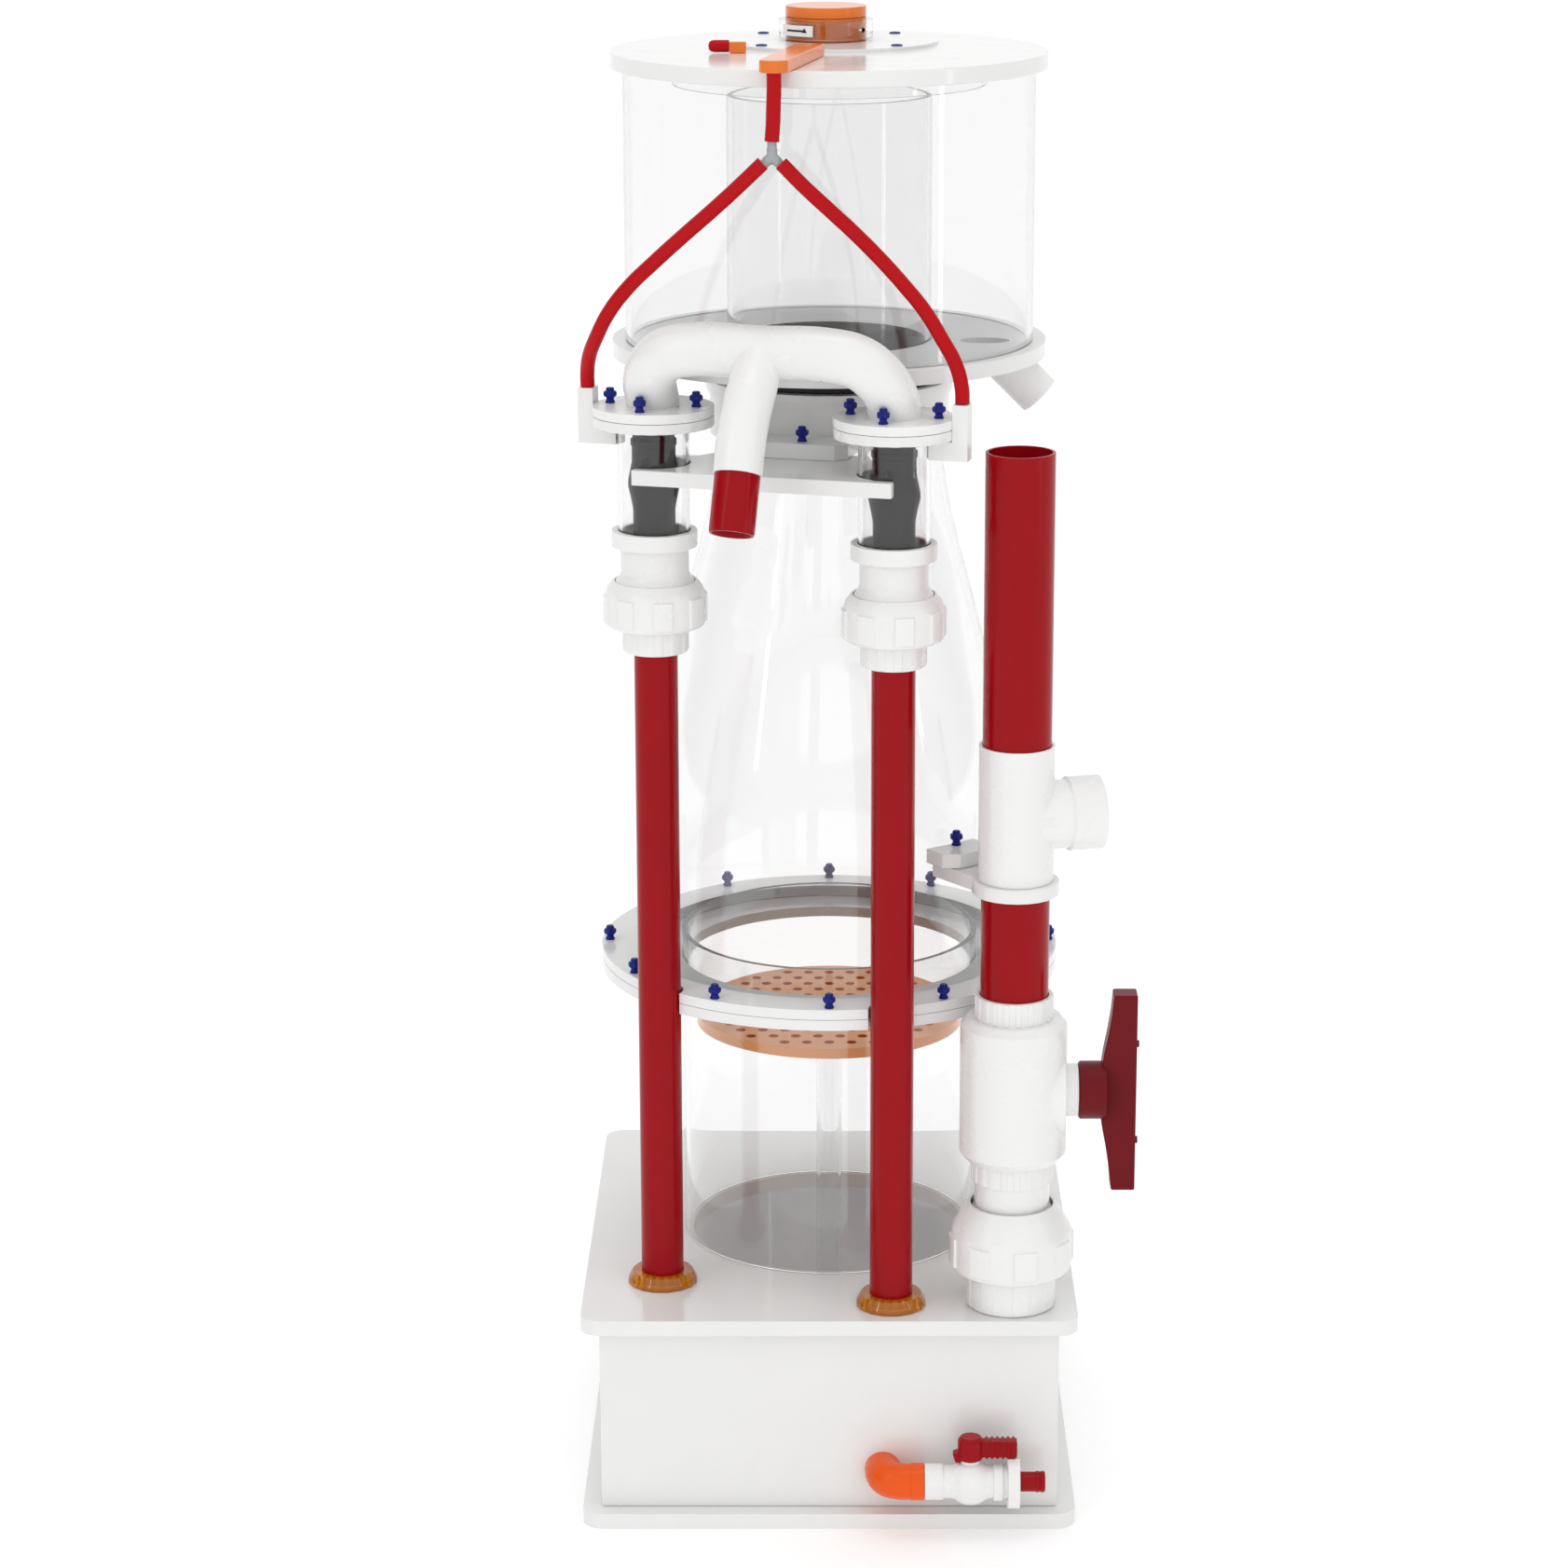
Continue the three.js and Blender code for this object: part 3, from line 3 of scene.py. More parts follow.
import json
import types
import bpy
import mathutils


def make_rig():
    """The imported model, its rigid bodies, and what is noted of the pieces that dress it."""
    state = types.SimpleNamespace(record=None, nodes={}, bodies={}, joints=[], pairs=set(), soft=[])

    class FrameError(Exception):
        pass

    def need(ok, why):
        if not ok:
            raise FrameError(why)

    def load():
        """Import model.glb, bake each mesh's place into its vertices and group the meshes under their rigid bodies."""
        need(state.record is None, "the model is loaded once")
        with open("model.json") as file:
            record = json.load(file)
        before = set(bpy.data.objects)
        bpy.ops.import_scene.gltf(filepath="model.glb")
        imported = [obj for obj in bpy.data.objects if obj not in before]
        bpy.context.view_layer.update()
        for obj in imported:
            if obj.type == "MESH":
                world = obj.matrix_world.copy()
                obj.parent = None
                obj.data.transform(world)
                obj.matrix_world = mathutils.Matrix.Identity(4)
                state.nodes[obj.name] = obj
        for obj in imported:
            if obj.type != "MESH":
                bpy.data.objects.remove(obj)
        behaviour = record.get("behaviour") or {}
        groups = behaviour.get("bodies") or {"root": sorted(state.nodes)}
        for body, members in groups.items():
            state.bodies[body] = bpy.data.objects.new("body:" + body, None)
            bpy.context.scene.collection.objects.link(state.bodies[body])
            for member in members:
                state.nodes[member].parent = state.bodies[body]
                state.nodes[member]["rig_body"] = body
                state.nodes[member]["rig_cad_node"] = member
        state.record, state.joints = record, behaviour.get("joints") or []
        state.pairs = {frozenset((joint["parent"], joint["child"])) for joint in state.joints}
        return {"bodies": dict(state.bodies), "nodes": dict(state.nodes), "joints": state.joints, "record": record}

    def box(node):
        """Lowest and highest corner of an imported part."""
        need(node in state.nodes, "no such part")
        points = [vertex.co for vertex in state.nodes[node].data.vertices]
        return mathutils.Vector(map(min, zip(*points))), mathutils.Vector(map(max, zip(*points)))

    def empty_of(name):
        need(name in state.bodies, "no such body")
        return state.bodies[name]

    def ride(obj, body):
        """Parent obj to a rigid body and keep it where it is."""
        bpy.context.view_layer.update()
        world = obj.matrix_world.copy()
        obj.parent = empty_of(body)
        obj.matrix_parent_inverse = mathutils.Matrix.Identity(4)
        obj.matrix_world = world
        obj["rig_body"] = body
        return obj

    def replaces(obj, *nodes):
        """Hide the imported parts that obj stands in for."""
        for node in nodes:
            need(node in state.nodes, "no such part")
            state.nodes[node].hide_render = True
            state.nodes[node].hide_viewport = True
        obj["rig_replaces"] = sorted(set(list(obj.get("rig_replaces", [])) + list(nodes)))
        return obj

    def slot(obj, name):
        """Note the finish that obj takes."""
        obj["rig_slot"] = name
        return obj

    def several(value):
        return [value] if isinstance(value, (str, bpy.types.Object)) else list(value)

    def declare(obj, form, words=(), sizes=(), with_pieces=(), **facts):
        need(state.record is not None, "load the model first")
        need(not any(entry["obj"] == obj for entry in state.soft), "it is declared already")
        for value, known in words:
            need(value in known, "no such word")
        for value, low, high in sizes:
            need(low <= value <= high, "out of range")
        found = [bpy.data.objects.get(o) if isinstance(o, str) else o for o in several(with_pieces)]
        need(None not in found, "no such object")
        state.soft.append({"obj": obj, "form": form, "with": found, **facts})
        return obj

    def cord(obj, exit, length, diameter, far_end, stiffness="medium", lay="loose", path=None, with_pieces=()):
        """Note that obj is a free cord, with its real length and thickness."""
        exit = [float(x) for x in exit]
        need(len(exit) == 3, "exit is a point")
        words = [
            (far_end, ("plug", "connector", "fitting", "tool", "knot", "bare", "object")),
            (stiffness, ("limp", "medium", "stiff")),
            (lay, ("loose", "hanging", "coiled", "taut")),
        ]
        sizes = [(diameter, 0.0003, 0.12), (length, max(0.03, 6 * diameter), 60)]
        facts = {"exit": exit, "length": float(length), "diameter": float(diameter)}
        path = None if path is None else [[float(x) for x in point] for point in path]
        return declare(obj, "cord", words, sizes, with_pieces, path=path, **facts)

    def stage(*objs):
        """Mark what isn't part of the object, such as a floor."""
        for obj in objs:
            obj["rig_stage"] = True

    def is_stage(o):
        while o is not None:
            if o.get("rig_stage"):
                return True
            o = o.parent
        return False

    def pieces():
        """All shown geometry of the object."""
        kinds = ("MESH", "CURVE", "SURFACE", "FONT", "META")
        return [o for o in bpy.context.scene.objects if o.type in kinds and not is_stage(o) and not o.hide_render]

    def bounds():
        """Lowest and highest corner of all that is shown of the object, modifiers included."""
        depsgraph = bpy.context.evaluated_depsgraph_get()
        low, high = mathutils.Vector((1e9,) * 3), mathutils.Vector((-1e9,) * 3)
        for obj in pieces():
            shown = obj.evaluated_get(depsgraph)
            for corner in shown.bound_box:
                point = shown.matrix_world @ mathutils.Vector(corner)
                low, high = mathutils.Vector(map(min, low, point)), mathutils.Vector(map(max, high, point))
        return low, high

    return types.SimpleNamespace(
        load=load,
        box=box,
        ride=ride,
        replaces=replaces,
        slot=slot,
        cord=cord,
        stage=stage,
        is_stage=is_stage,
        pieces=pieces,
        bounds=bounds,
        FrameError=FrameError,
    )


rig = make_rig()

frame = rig.load()

import json
import math

import bpy
from mathutils import Matrix, Vector

bl_info = {
    "name": "Protein Skimmer",
    "version": (1, 0, 0),
    "blender": (4, 5, 0),
    "location": "View3D > Sidebar > Skimmer",
    "description": "Builds a pond protein skimmer round its frame, piece by piece",
    "category": "Object",
}

CAD_LOW, CAD_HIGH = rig.bounds()
MM = 0.001
AROUND = 96              # facets round a turned piece
PIPE_AROUND = 64         # facets round a pipe
RIM_AROUND = 144         # facets round the widest rims

# sizes and places that several pieces share, in millimetres
SHEET_WALL = 10          # wall of the sump box
PLATE_RIM = 17.5         # base plate outside the box
PLATE_CORNER = 20        # radius of the plates' upright corners
TUBE_HOLE_R = 133.5      # hole in the top plate under the reaction tube
FLANGE_R = 220
FLANGE_SCREW_R = 212.5   # circle of the thumbscrews on the main flanges
HOLE_PITCH = 21          # between the holes of the bubble plate
HOLE_R = 4.8
NECK_R = 105             # outside of the cone's neck
COLUMN_GAP = 224         # between the two injector columns
HEAD_R = 55              # flanges of the chamber heads and their caps
HEAD_SCREW_R = 40.5
HEAD_SEAM = 1045         # where a head's flange meets its cap
CAP_TOP = 1054
SPOUT_AT = (152, -20, 1082)
HATCH = (0, 67)          # middle of the lid's hatch
VALVE = (-3, 67)         # axis of the air valve
VALVE_R = 37.7
BALL_Z = 421             # height of the outlet valve's ball
TEE_BRANCH_Z = 684


def linear(hex_colour):
    """The linear values of an sRGB hex colour, with alpha 1."""
    channels = [int(hex_colour[i:i + 2], 16) / 255 for i in (1, 3, 5)]
    return [c / 12.92 if c <= 0.04045 else ((c + 0.055) / 1.055) ** 2.4 for c in channels] + [1.0]


def middle(node):
    """The middle of a node's box, seen from above, in millimetres."""
    low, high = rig.box(node)
    return (low.x + high.x) / 2 / MM, (low.y + high.y) / 2 / MM


def heights(node):
    """A node's lowest and highest point, in millimetres."""
    low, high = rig.box(node)
    return low.z / MM, high.z / MM


# ---------- settings ----------
class SkimmerSizes(bpy.types.PropertyGroup):
    """Sizes of the details that are finished here."""
    lug_depth: bpy.props.FloatProperty(
        name="Nut lugs", description="How far a union nut's grip lugs stand out",
        default=0.002, min=0.0, max=0.004, unit="LENGTH")
    rib_depth: bpy.props.FloatProperty(
        name="Grip ribs", description="How far the ribs on the valve's collars stand out",
        default=0.0009, min=0.0, max=0.002, unit="LENGTH")
    oring_radius: bpy.props.FloatProperty(
        name="Neck seal", description="Radius of the neck O-ring's section",
        default=0.0024, min=0.001, max=0.004, unit="LENGTH")


def colour(name, about, hex_colour):
    return bpy.props.FloatVectorProperty(
        name=name, description=about, default=linear(hex_colour), size=4, min=0, max=1,
        subtype="COLOR")


class SkimmerColours(bpy.types.PropertyGroup):
    """Colours of the sheet, pipe and trim."""
    sheet: colour("White sheet", "Cast acrylic sheet", "#EBEBEA")
    fitting: colour("White fittings", "Injection-moulded PVC", "#EEEEED")
    # painted shade: the grey given to the acrylic in the closed box's shade
    inside: colour("Sump's inside", "Acrylic in the box's shade", "#B4B2B2")
    pipe: colour("Red pipe", "Extruded PVC pressure pipe", "#9C0A14")
    handle: colour("Dark red handle", "Moulded valve handle", "#6E121A")
    hose: colour("Red hose", "Silicone air hose", "#B80C15")
    orange: colour("Orange sheet", "Tinted acrylic on the lid", "#FF8830")
    amber: colour("Amber fittings", "Tinted acrylic bulkheads", "#F5A21A")
    perforated: colour("Bubble plate", "Tinted acrylic plate", "#F7AC76")
    # darker than the plate as painted shade in the bores
    bored: colour("Bubble plate's bores", "Rough walls of the plate's holes", "#C8692E")
    elbow: colour("Orange elbow", "Moulded drain elbow", "#F05A12")
    screw: colour("Blue screws", "Nylon thumbscrews", "#0E1F7E")
    injector: colour("Black nozzle", "Moulded injector", "#121213")


# ---------- materials ----------
def add(tree, kind, settings=None, links=None):
    """Adds a node, sets its sockets and properties, and links its inputs to others' outputs."""
    node = tree.nodes.new(kind)
    for name, value in (settings or {}).items():
        if name in node.inputs:
            node.inputs[name].default_value = value
        else:
            setattr(node, name, value)
    for name, (source, output) in (links or {}).items():
        tree.links.new(source.outputs[output], node.inputs[name])
    return node


def surface(name, colour_value, roughness, grain_mm, grain_depth_mm, mottle=0.04, **shader):
    """A plastic with faint cloudy colour, uneven gloss and a fine surface grain.

    roughness is its range, grain_mm the grain's spacing and grain_depth_mm its height."""
    made = bpy.data.materials.new(name)
    made.use_nodes = True
    tree = made.node_tree
    tree.nodes.clear()
    place = add(tree, "ShaderNodeTexCoord")
    cloud = add(tree, "ShaderNodeTexNoise", {"Scale": 1 / (40 * MM), "Detail": 3.0},
                {"Vector": (place, "Object")})
    dark = [c * (1 - 2 * mottle) for c in colour_value[:3]] + [1.0]
    tint = add(tree, "ShaderNodeValToRGB", {}, {"Fac": (cloud, "Fac")})
    tint.color_ramp.elements[0].position, tint.color_ramp.elements[0].color = 0.3, dark
    tint.color_ramp.elements[1].position, tint.color_ramp.elements[1].color = 0.7, colour_value
    gloss = add(tree, "ShaderNodeMapRange",
                {"To Min": roughness[0], "To Max": roughness[1]}, {"Value": (cloud, "Fac")})
    grain = add(tree, "ShaderNodeTexNoise", {"Scale": 1 / (grain_mm * MM), "Detail": 2.0},
                {"Vector": (place, "Object")})
    bump = add(tree, "ShaderNodeBump", {"Strength": 0.6, "Distance": grain_depth_mm * MM},
               {"Height": (grain, "Fac")})
    plain = {key.replace("_", " "): value for key, value in shader.items()}
    body = add(tree, "ShaderNodeBsdfPrincipled", plain,
               {"Base Color": (tint, "Color"), "Roughness": (gloss, "Result"),
                "Normal": (bump, "Normal")})
    add(tree, "ShaderNodeOutputMaterial", {}, {"Surface": (body, "BSDF")})
    return made


def cast_white_acrylic(colours):
    # polished cast sheet: deep even gloss, hardly any grain
    return surface("white_acrylic", colours.sheet, (0.1, 0.2), 18, 0.02, 0.008, IOR=1.49,
                   Coat_Weight=0.1, Coat_Roughness=0.05)


def shaded_acrylic(colours):
    # painted shade: the same sheet inside the closed box, grey for the shade there and with a rougher gloss; the light
    # that comes through the white walls is painted as a faint glow
    return surface("shaded_acrylic", colours.inside, (0.3, 0.5), 30, 0.02, 0.08, IOR=1.49,
                   Emission_Color=colours.inside, Emission_Strength=0.38)


def moulded_white_pvc(colours):
    # injection-moulded PVC: softer gloss with a slight orange peel
    return surface("white_pvc", colours.fitting, (0.24, 0.3), 2.5, 0.006, 0.004, IOR=1.53)


def clear_acrylic(colours):
    # clear cast tube: polished, with a very faint waviness from casting
    return surface("clear_acrylic", linear("#FAFAFA"), (0.0, 0.015), 60, 0.02, 0.0, IOR=1.49,
                   Transmission_Weight=1.0)


def extruded_red_pvc(colours):
    # extruded pipe: even glossy red with soft waves from the die
    return surface("red_pvc", colours.pipe, (0.16, 0.24), 14, 0.02, 0.03, IOR=1.53,
                   Specular_IOR_Level=0.12)


def dark_red_nylon(colours):
    # moulded handle: satin, with a fine spark-eroded texture
    return surface("dark_red_plastic", colours.handle, (0.3, 0.42), 0.9, 0.02, 0.04, IOR=1.52,
                   Specular_IOR_Level=0.12)


def red_silicone(colours):
    # soft hose: slightly dusty satin rubber
    return surface("red_silicone", colours.hose, (0.34, 0.46), 1.6, 0.02, 0.03, IOR=1.43,
                   Specular_IOR_Level=0.15)


def orange_acrylic(colours):
    # tinted sheet: light passes a little way in, edges glow
    return surface("orange_acrylic", colours.orange, (0.08, 0.16), 20, 0.02, 0.03, IOR=1.49,
                   Transmission_Weight=0.25, Specular_IOR_Level=0.25)


def amber_acrylic(colours):
    # darker tinted turned fittings, polished facets
    return surface("amber_acrylic", colours.amber, (0.04, 0.1), 20, 0.01, 0.03, IOR=1.49,
                   Transmission_Weight=0.7)


def perforated_acrylic(colours):
    # tinted plate drilled all over: half clear, so its hole walls show through; its emission is a painted glow
    return surface("perforated_acrylic", colours.perforated, (0.06, 0.14), 20, 0.02, 0.02, IOR=1.35,
                   Specular_IOR_Level=0.2,
                   Emission_Color=colours.perforated, Emission_Strength=0.2)


def bored_acrylic(colours):
    # drilled walls: the same plate, matt, and darker as painted shade in the bores; the emission is a painted glow
    # that lightens them again
    return surface("bored_acrylic", colours.bored, (0.4, 0.6), 3, 0.02, 0.06, IOR=1.49,
                   Specular_IOR_Level=0.2,
                   Emission_Color=colours.bored, Emission_Strength=0.15)


def orange_pvc(colours):
    # moulded elbow: bright glossy orange
    return surface("orange_plastic", colours.elbow, (0.14, 0.24), 3, 0.015, 0.03, IOR=1.53,
                   Specular_IOR_Level=0.2)


def black_nylon(colours):
    # moulded nozzle: satin near-black, glass-filled and slightly blotchy
    return surface("black_plastic", colours.injector, (0.34, 0.5), 1.2, 0.03, 0.15, IOR=1.53,
                   Specular_IOR_Level=0.2)


def grey_polypropylene(colours):
    # small hose joiner: milky, lets a little light in
    return surface("grey_plastic", linear("#B4B8BA"), (0.25, 0.35), 1.5, 0.02, 0.03, IOR=1.49,
                   Transmission_Weight=0.2)


def blue_nylon(colours):
    # moulded screws: dark blue with a soft shine
    return surface("blue_nylon", colours.screw, (0.26, 0.38), 0.8, 0.015, 0.05, IOR=1.53,
                   Specular_IOR_Level=0.2)


def black_rubber(colours):
    # seals and gasket: matt black
    return surface("black_rubber", linear("#151515"), (0.5, 0.65), 0.8, 0.02, 0.1, IOR=1.52)


def printed_label(colours):
    # matt white film under the air valve's arrow
    return surface("printed_label", linear("#F2F2F0"), (0.45, 0.6), 0.6, 0.01, 0.02, IOR=1.5)


FINISHES = {make.__name__: make for make in (
    cast_white_acrylic, shaded_acrylic, moulded_white_pvc, clear_acrylic, extruded_red_pvc,
    dark_red_nylon, red_silicone, orange_acrylic, amber_acrylic, perforated_acrylic, bored_acrylic,
    orange_pvc, black_nylon, grey_polypropylene, blue_nylon, black_rubber, printed_label)}
# the record's slot that each finish belongs to
SLOTS = {
    "cast_white_acrylic": "white_acrylic", "moulded_white_pvc": "white_pvc",
    "clear_acrylic": "clear_acrylic", "extruded_red_pvc": "red_pvc",
    "dark_red_nylon": "dark_red_plastic", "red_silicone": "red_silicone",
    "orange_acrylic": "orange_acrylic", "amber_acrylic": "orange_acrylic",
    "perforated_acrylic": "orange_acrylic", "orange_pvc": "orange_plastic",
    "black_nylon": "black_plastic", "grey_polypropylene": "grey_plastic",
    "blue_nylon": "blue_nylon", "black_rubber": "black_rubber",
    "printed_label": "white_acrylic",
}
made_finishes = {}


def finish_of(name):
    """The material of that name, made once."""
    if name not in made_finishes:
        made_finishes[name] = FINISHES[name](bpy.context.scene.skimmer_colours)
    return made_finishes[name]


# ---------- modelling ----------
def select_only(piece):
    if bpy.context.object and bpy.context.object.mode != "OBJECT":
        bpy.ops.object.mode_set(mode="OBJECT")
    bpy.ops.object.select_all(action="DESELECT")
    if piece is not None:
        piece.select_set(True)
        bpy.context.view_layer.objects.active = piece


def settle_place(piece):
    """Puts the piece's place, turn and size into its mesh."""
    select_only(piece)
    bpy.ops.object.transform_apply(location=True, rotation=True, scale=True)


def rounded(piece, edge, segments=2, angle=28):
    """Rounds the piece's sharp edges, and shades it smooth between them."""
    select_only(piece)
    if edge > 0:
        bpy.ops.object.modifier_add(type="BEVEL")
        bevel = piece.modifiers[-1]
        bevel.width = edge * MM
        bevel.segments = segments
        bevel.limit_method = "ANGLE"
        bevel.angle_limit = math.radians(angle)
        bpy.ops.object.modifier_apply(modifier=bevel.name)
    bpy.ops.object.shade_smooth_by_angle(angle=math.radians(angle + 4))
    if edge > 0:
        # keeps the large faces true beside their rounded edges
        bpy.ops.object.modifier_add(type="WEIGHTED_NORMAL")
        piece.modifiers[-1].keep_sharp = True
        bpy.ops.object.modifier_apply(modifier=piece.modifiers[-1].name)
    return piece


def turned(outline, at=(0, 0, 0), toward=(0, 0, 1), sides=AROUND, edge=0.0, swing=0):
    """Turns a section of (radius, height) points, in millimetres, about the axis through at.

    A section that starts on the axis makes a solid, any other closes on itself as a ring."""
    select_only(None)
    solid = outline[0][0] == 0
    rings = [point for point in outline if point[0] > 0]
    radius, height = rings[0]
    bpy.ops.mesh.primitive_circle_add(
        vertices=sides, radius=radius * MM, location=(0, 0, height * MM),
        fill_type="NGON" if solid else "NOTHING")
    piece = bpy.context.object
    bpy.ops.object.mode_set(mode="EDIT")
    if not solid:
        rings = rings + rings[:1]
    for (radius, height), (next_radius, next_height) in zip(rings, rings[1:]):
        bpy.ops.mesh.extrude_region_move(
            TRANSFORM_OT_translate={"value": (0, 0, (next_height - height) * MM)})
        if next_radius != radius:
            grow = next_radius / radius
            bpy.ops.transform.resize(value=(grow, grow, 1),
                                     center_override=(0, 0, next_height * MM))
    bpy.ops.mesh.select_all(action="SELECT")
    bpy.ops.mesh.remove_doubles(threshold=1e-6)
    bpy.ops.mesh.normals_make_consistent(inside=False)
    settle_place(piece)
    rounded(piece, edge)
    turn = Vector(toward).to_track_quat("Z", "Y").to_matrix().to_4x4()
    piece.matrix_world = (Matrix.Translation(Vector(at) * MM) @ turn
                          @ Matrix.Rotation(math.radians(swing), 4, "Z"))
    settle_place(piece)
    return piece


def ring(inner, outer, bottom, top, **how):
    return turned([(inner, bottom), (outer, bottom), (outer, top), (inner, top)], **how)


def disc(radius, bottom, top, **how):
    return turned([(0, bottom), (radius, bottom), (radius, top), (0, top)], **how)


def slab(low, high, corner=0.0, edge=0.8):
    """A flat block between two corners, in millimetres, with round upright edges if asked."""
    select_only(None)
    size = [(b - a) * MM for a, b in zip(low, high)]
    centre = [(b + a) / 2 * MM for a, b in zip(low, high)]
    bpy.ops.mesh.primitive_cube_add(size=1, location=centre, scale=size)
    piece = bpy.context.object
    settle_place(piece)
    if corner > 0:
        for part in (piece.data.vertices, piece.data.polygons):
            part.foreach_set("select", [False] * len(part))
        for line in piece.data.edges:
            a, b = (piece.data.vertices[i].co for i in line.vertices)
            line.select = abs(a.x - b.x) < 1e-6 and abs(a.y - b.y) < 1e-6
        # edges are picked in edge mode, or the corners' selection would take in every edge
        picking = bpy.context.tool_settings
        picking.mesh_select_mode = (False, True, False)
        bpy.ops.object.mode_set(mode="EDIT")
        bpy.ops.mesh.bevel(offset=corner * MM, segments=12, affect="EDGES")
        bpy.ops.object.mode_set(mode="OBJECT")
        picking.mesh_select_mode = (True, False, False)
    return rounded(piece, edge)


def combined(piece, others, operation="DIFFERENCE"):
    """Cuts or joins the piece with other solids, which are used up."""
    for other in others:
        select_only(piece)
        bpy.ops.object.modifier_add(type="BOOLEAN")
        change = piece.modifiers[-1]
        change.operation = operation
        change.solver = "EXACT"
        change.object = other
        bpy.ops.object.modifier_apply(modifier=change.name)
        bpy.data.objects.remove(other)
    return piece


def refined(node, edge=0.8, segments=2):
    """A copy of a flat-faced node with merged faces and rounded edges."""
    piece = bpy.data.objects.new(node, frame["nodes"][node].data.copy())
    bpy.context.scene.collection.objects.link(piece)
    select_only(piece)
    bpy.ops.object.mode_set(mode="EDIT")
    bpy.ops.mesh.select_all(action="SELECT")
    bpy.ops.mesh.remove_doubles(threshold=1e-5)
    bpy.ops.mesh.dissolve_limited(angle_limit=math.radians(0.5))
    bpy.ops.object.mode_set(mode="OBJECT")
    return rounded(piece, edge, segments)


def pick_faces(piece, wanted):
    """Selects the faces that pass the test, and nothing else."""
    select_only(piece)
    for part in (piece.data.vertices, piece.data.edges):
        part.foreach_set("select", [False] * len(part))
    for face in piece.data.polygons:
        face.select = wanted(face)
    bpy.ops.object.mode_set(mode="EDIT")
    bpy.ops.mesh.select_mode(type="FACE")


def raised(piece, low, high, count, share, depth):
    """Raises count equal lugs or ribs between two heights round an upright turned piece.

    share is the part of the way round that the raised faces take."""
    centre_x = sum(v.co.x for v in piece.data.vertices) / len(piece.data.vertices)
    centre_y = sum(v.co.y for v in piece.data.vertices) / len(piece.data.vertices)

    def wanted(face):
        where = face.center - Vector((centre_x, centre_y, 0))
        radial = Vector((where.x, where.y, 0)).normalized()
        turn = (math.atan2(where.y, where.x) / math.tau * count) % 1
        return (low * MM < where.z < high * MM and turn < share
                and face.normal.dot(radial) > 0.7 and face.area > 1e-9)

    pick_faces(piece, wanted)
    bpy.ops.mesh.inset(thickness=depth * 0.4, depth=depth)
    bpy.ops.mesh.select_mode(type="VERT")
    bpy.ops.object.mode_set(mode="OBJECT")
    return rounded(piece, 0.3)


def copy_at(piece, matrix):
    """A copy of the piece with its own mesh, moved by the matrix."""
    twin = bpy.data.objects.new(piece.name, piece.data.copy())
    twin.data.transform(matrix)
    bpy.context.scene.collection.objects.link(twin)
    return twin


def placed(piece, name, body, finish, replaces=()):
    """Names the piece, gives it its material and lets it ride on its body."""
    piece.name = name
    piece.data.name = name
    piece.data.materials.clear()
    piece.data.materials.append(finish_of(finish))
    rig.ride(piece, body)
    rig.slot(piece, SLOTS[finish])
    if replaces:
        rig.replaces(piece, *replaces)
    return piece


def joined(pieces):
    """Joins pieces into the first one."""
    select_only(pieces[0])
    for piece in pieces:
        piece.select_set(True)
    bpy.ops.object.join()
    return bpy.context.object


def route_curve(points, radius, name):
    """A round hose along a smooth line through the points, in metres."""
    line = bpy.data.curves.new(name, "CURVE")
    line.dimensions = "3D"
    line.bevel_depth = radius
    line.bevel_resolution = 8
    line.resolution_u = 10
    line.use_fill_caps = True
    spline = line.splines.new("BEZIER")
    spline.bezier_points.add(len(points) - 1)
    for knot, point in zip(spline.bezier_points, points):
        knot.co = point
        knot.handle_left_type = knot.handle_right_type = "AUTO"
    hose = bpy.data.objects.new(name, line)
    bpy.context.scene.collection.objects.link(hose)
    return hose


def pipe_along(points, radius, name):
    """A solid bent pipe through the points, in millimetres, as a mesh with closed ends."""
    pipe = route_curve([Vector(p) * MM for p in points], radius * MM, name)
    pipe.data.bevel_resolution = 14
    select_only(pipe)
    bpy.ops.object.convert(target="MESH")
    pipe = bpy.context.object
    bpy.ops.object.mode_set(mode="EDIT")
    bpy.ops.mesh.select_all(action="SELECT")
    bpy.ops.mesh.remove_doubles(threshold=1e-6)
    bpy.ops.mesh.normals_make_consistent(inside=False)
    bpy.ops.object.mode_set(mode="OBJECT")
    return pipe


# ---------- air hoses, first because the camera and hoses settle the frame ----------
HOSE_DIAMETER = 0.013
LEFT_ROUTE = [
    (-0.058, -0.214, 1.277), (-0.078, -0.214, 1.258), (-0.102, -0.212, 1.236),
    (-0.128, -0.208, 1.213), (-0.154, -0.202, 1.189), (-0.178, -0.193, 1.165),
    (-0.196, -0.183, 1.141), (-0.208, -0.171, 1.117), (-0.2155, -0.155, 1.097),
    (-0.218, -0.144, 1.080), (-0.218, -0.1428, 1.0682),
]
RIGHT_ROUTE = [
    (-0.042, -0.214, 1.277), (-0.022, -0.216, 1.257), (0.001, -0.218, 1.236),
    (0.024, -0.220, 1.215), (0.046, -0.2215, 1.193), (0.066, -0.223, 1.171),
    (0.084, -0.225, 1.149), (0.099, -0.2275, 1.125), (0.112, -0.230, 1.101),
    (0.117, -0.232, 1.081), (0.1176, -0.2324, 1.0682),
]
FEED_ROUTE = [
    (-0.048, -0.212, 1.355), (-0.048, -0.2125, 1.340), (-0.0485, -0.213, 1.325),
    (-0.049, -0.213, 1.310), (-0.050, -0.213, 1.296),
]
JUNCTION = (-50, -213, 1283)


def route_length(points):
    return sum((Vector(b) - Vector(a)).length for a, b in zip(points, points[1:]))


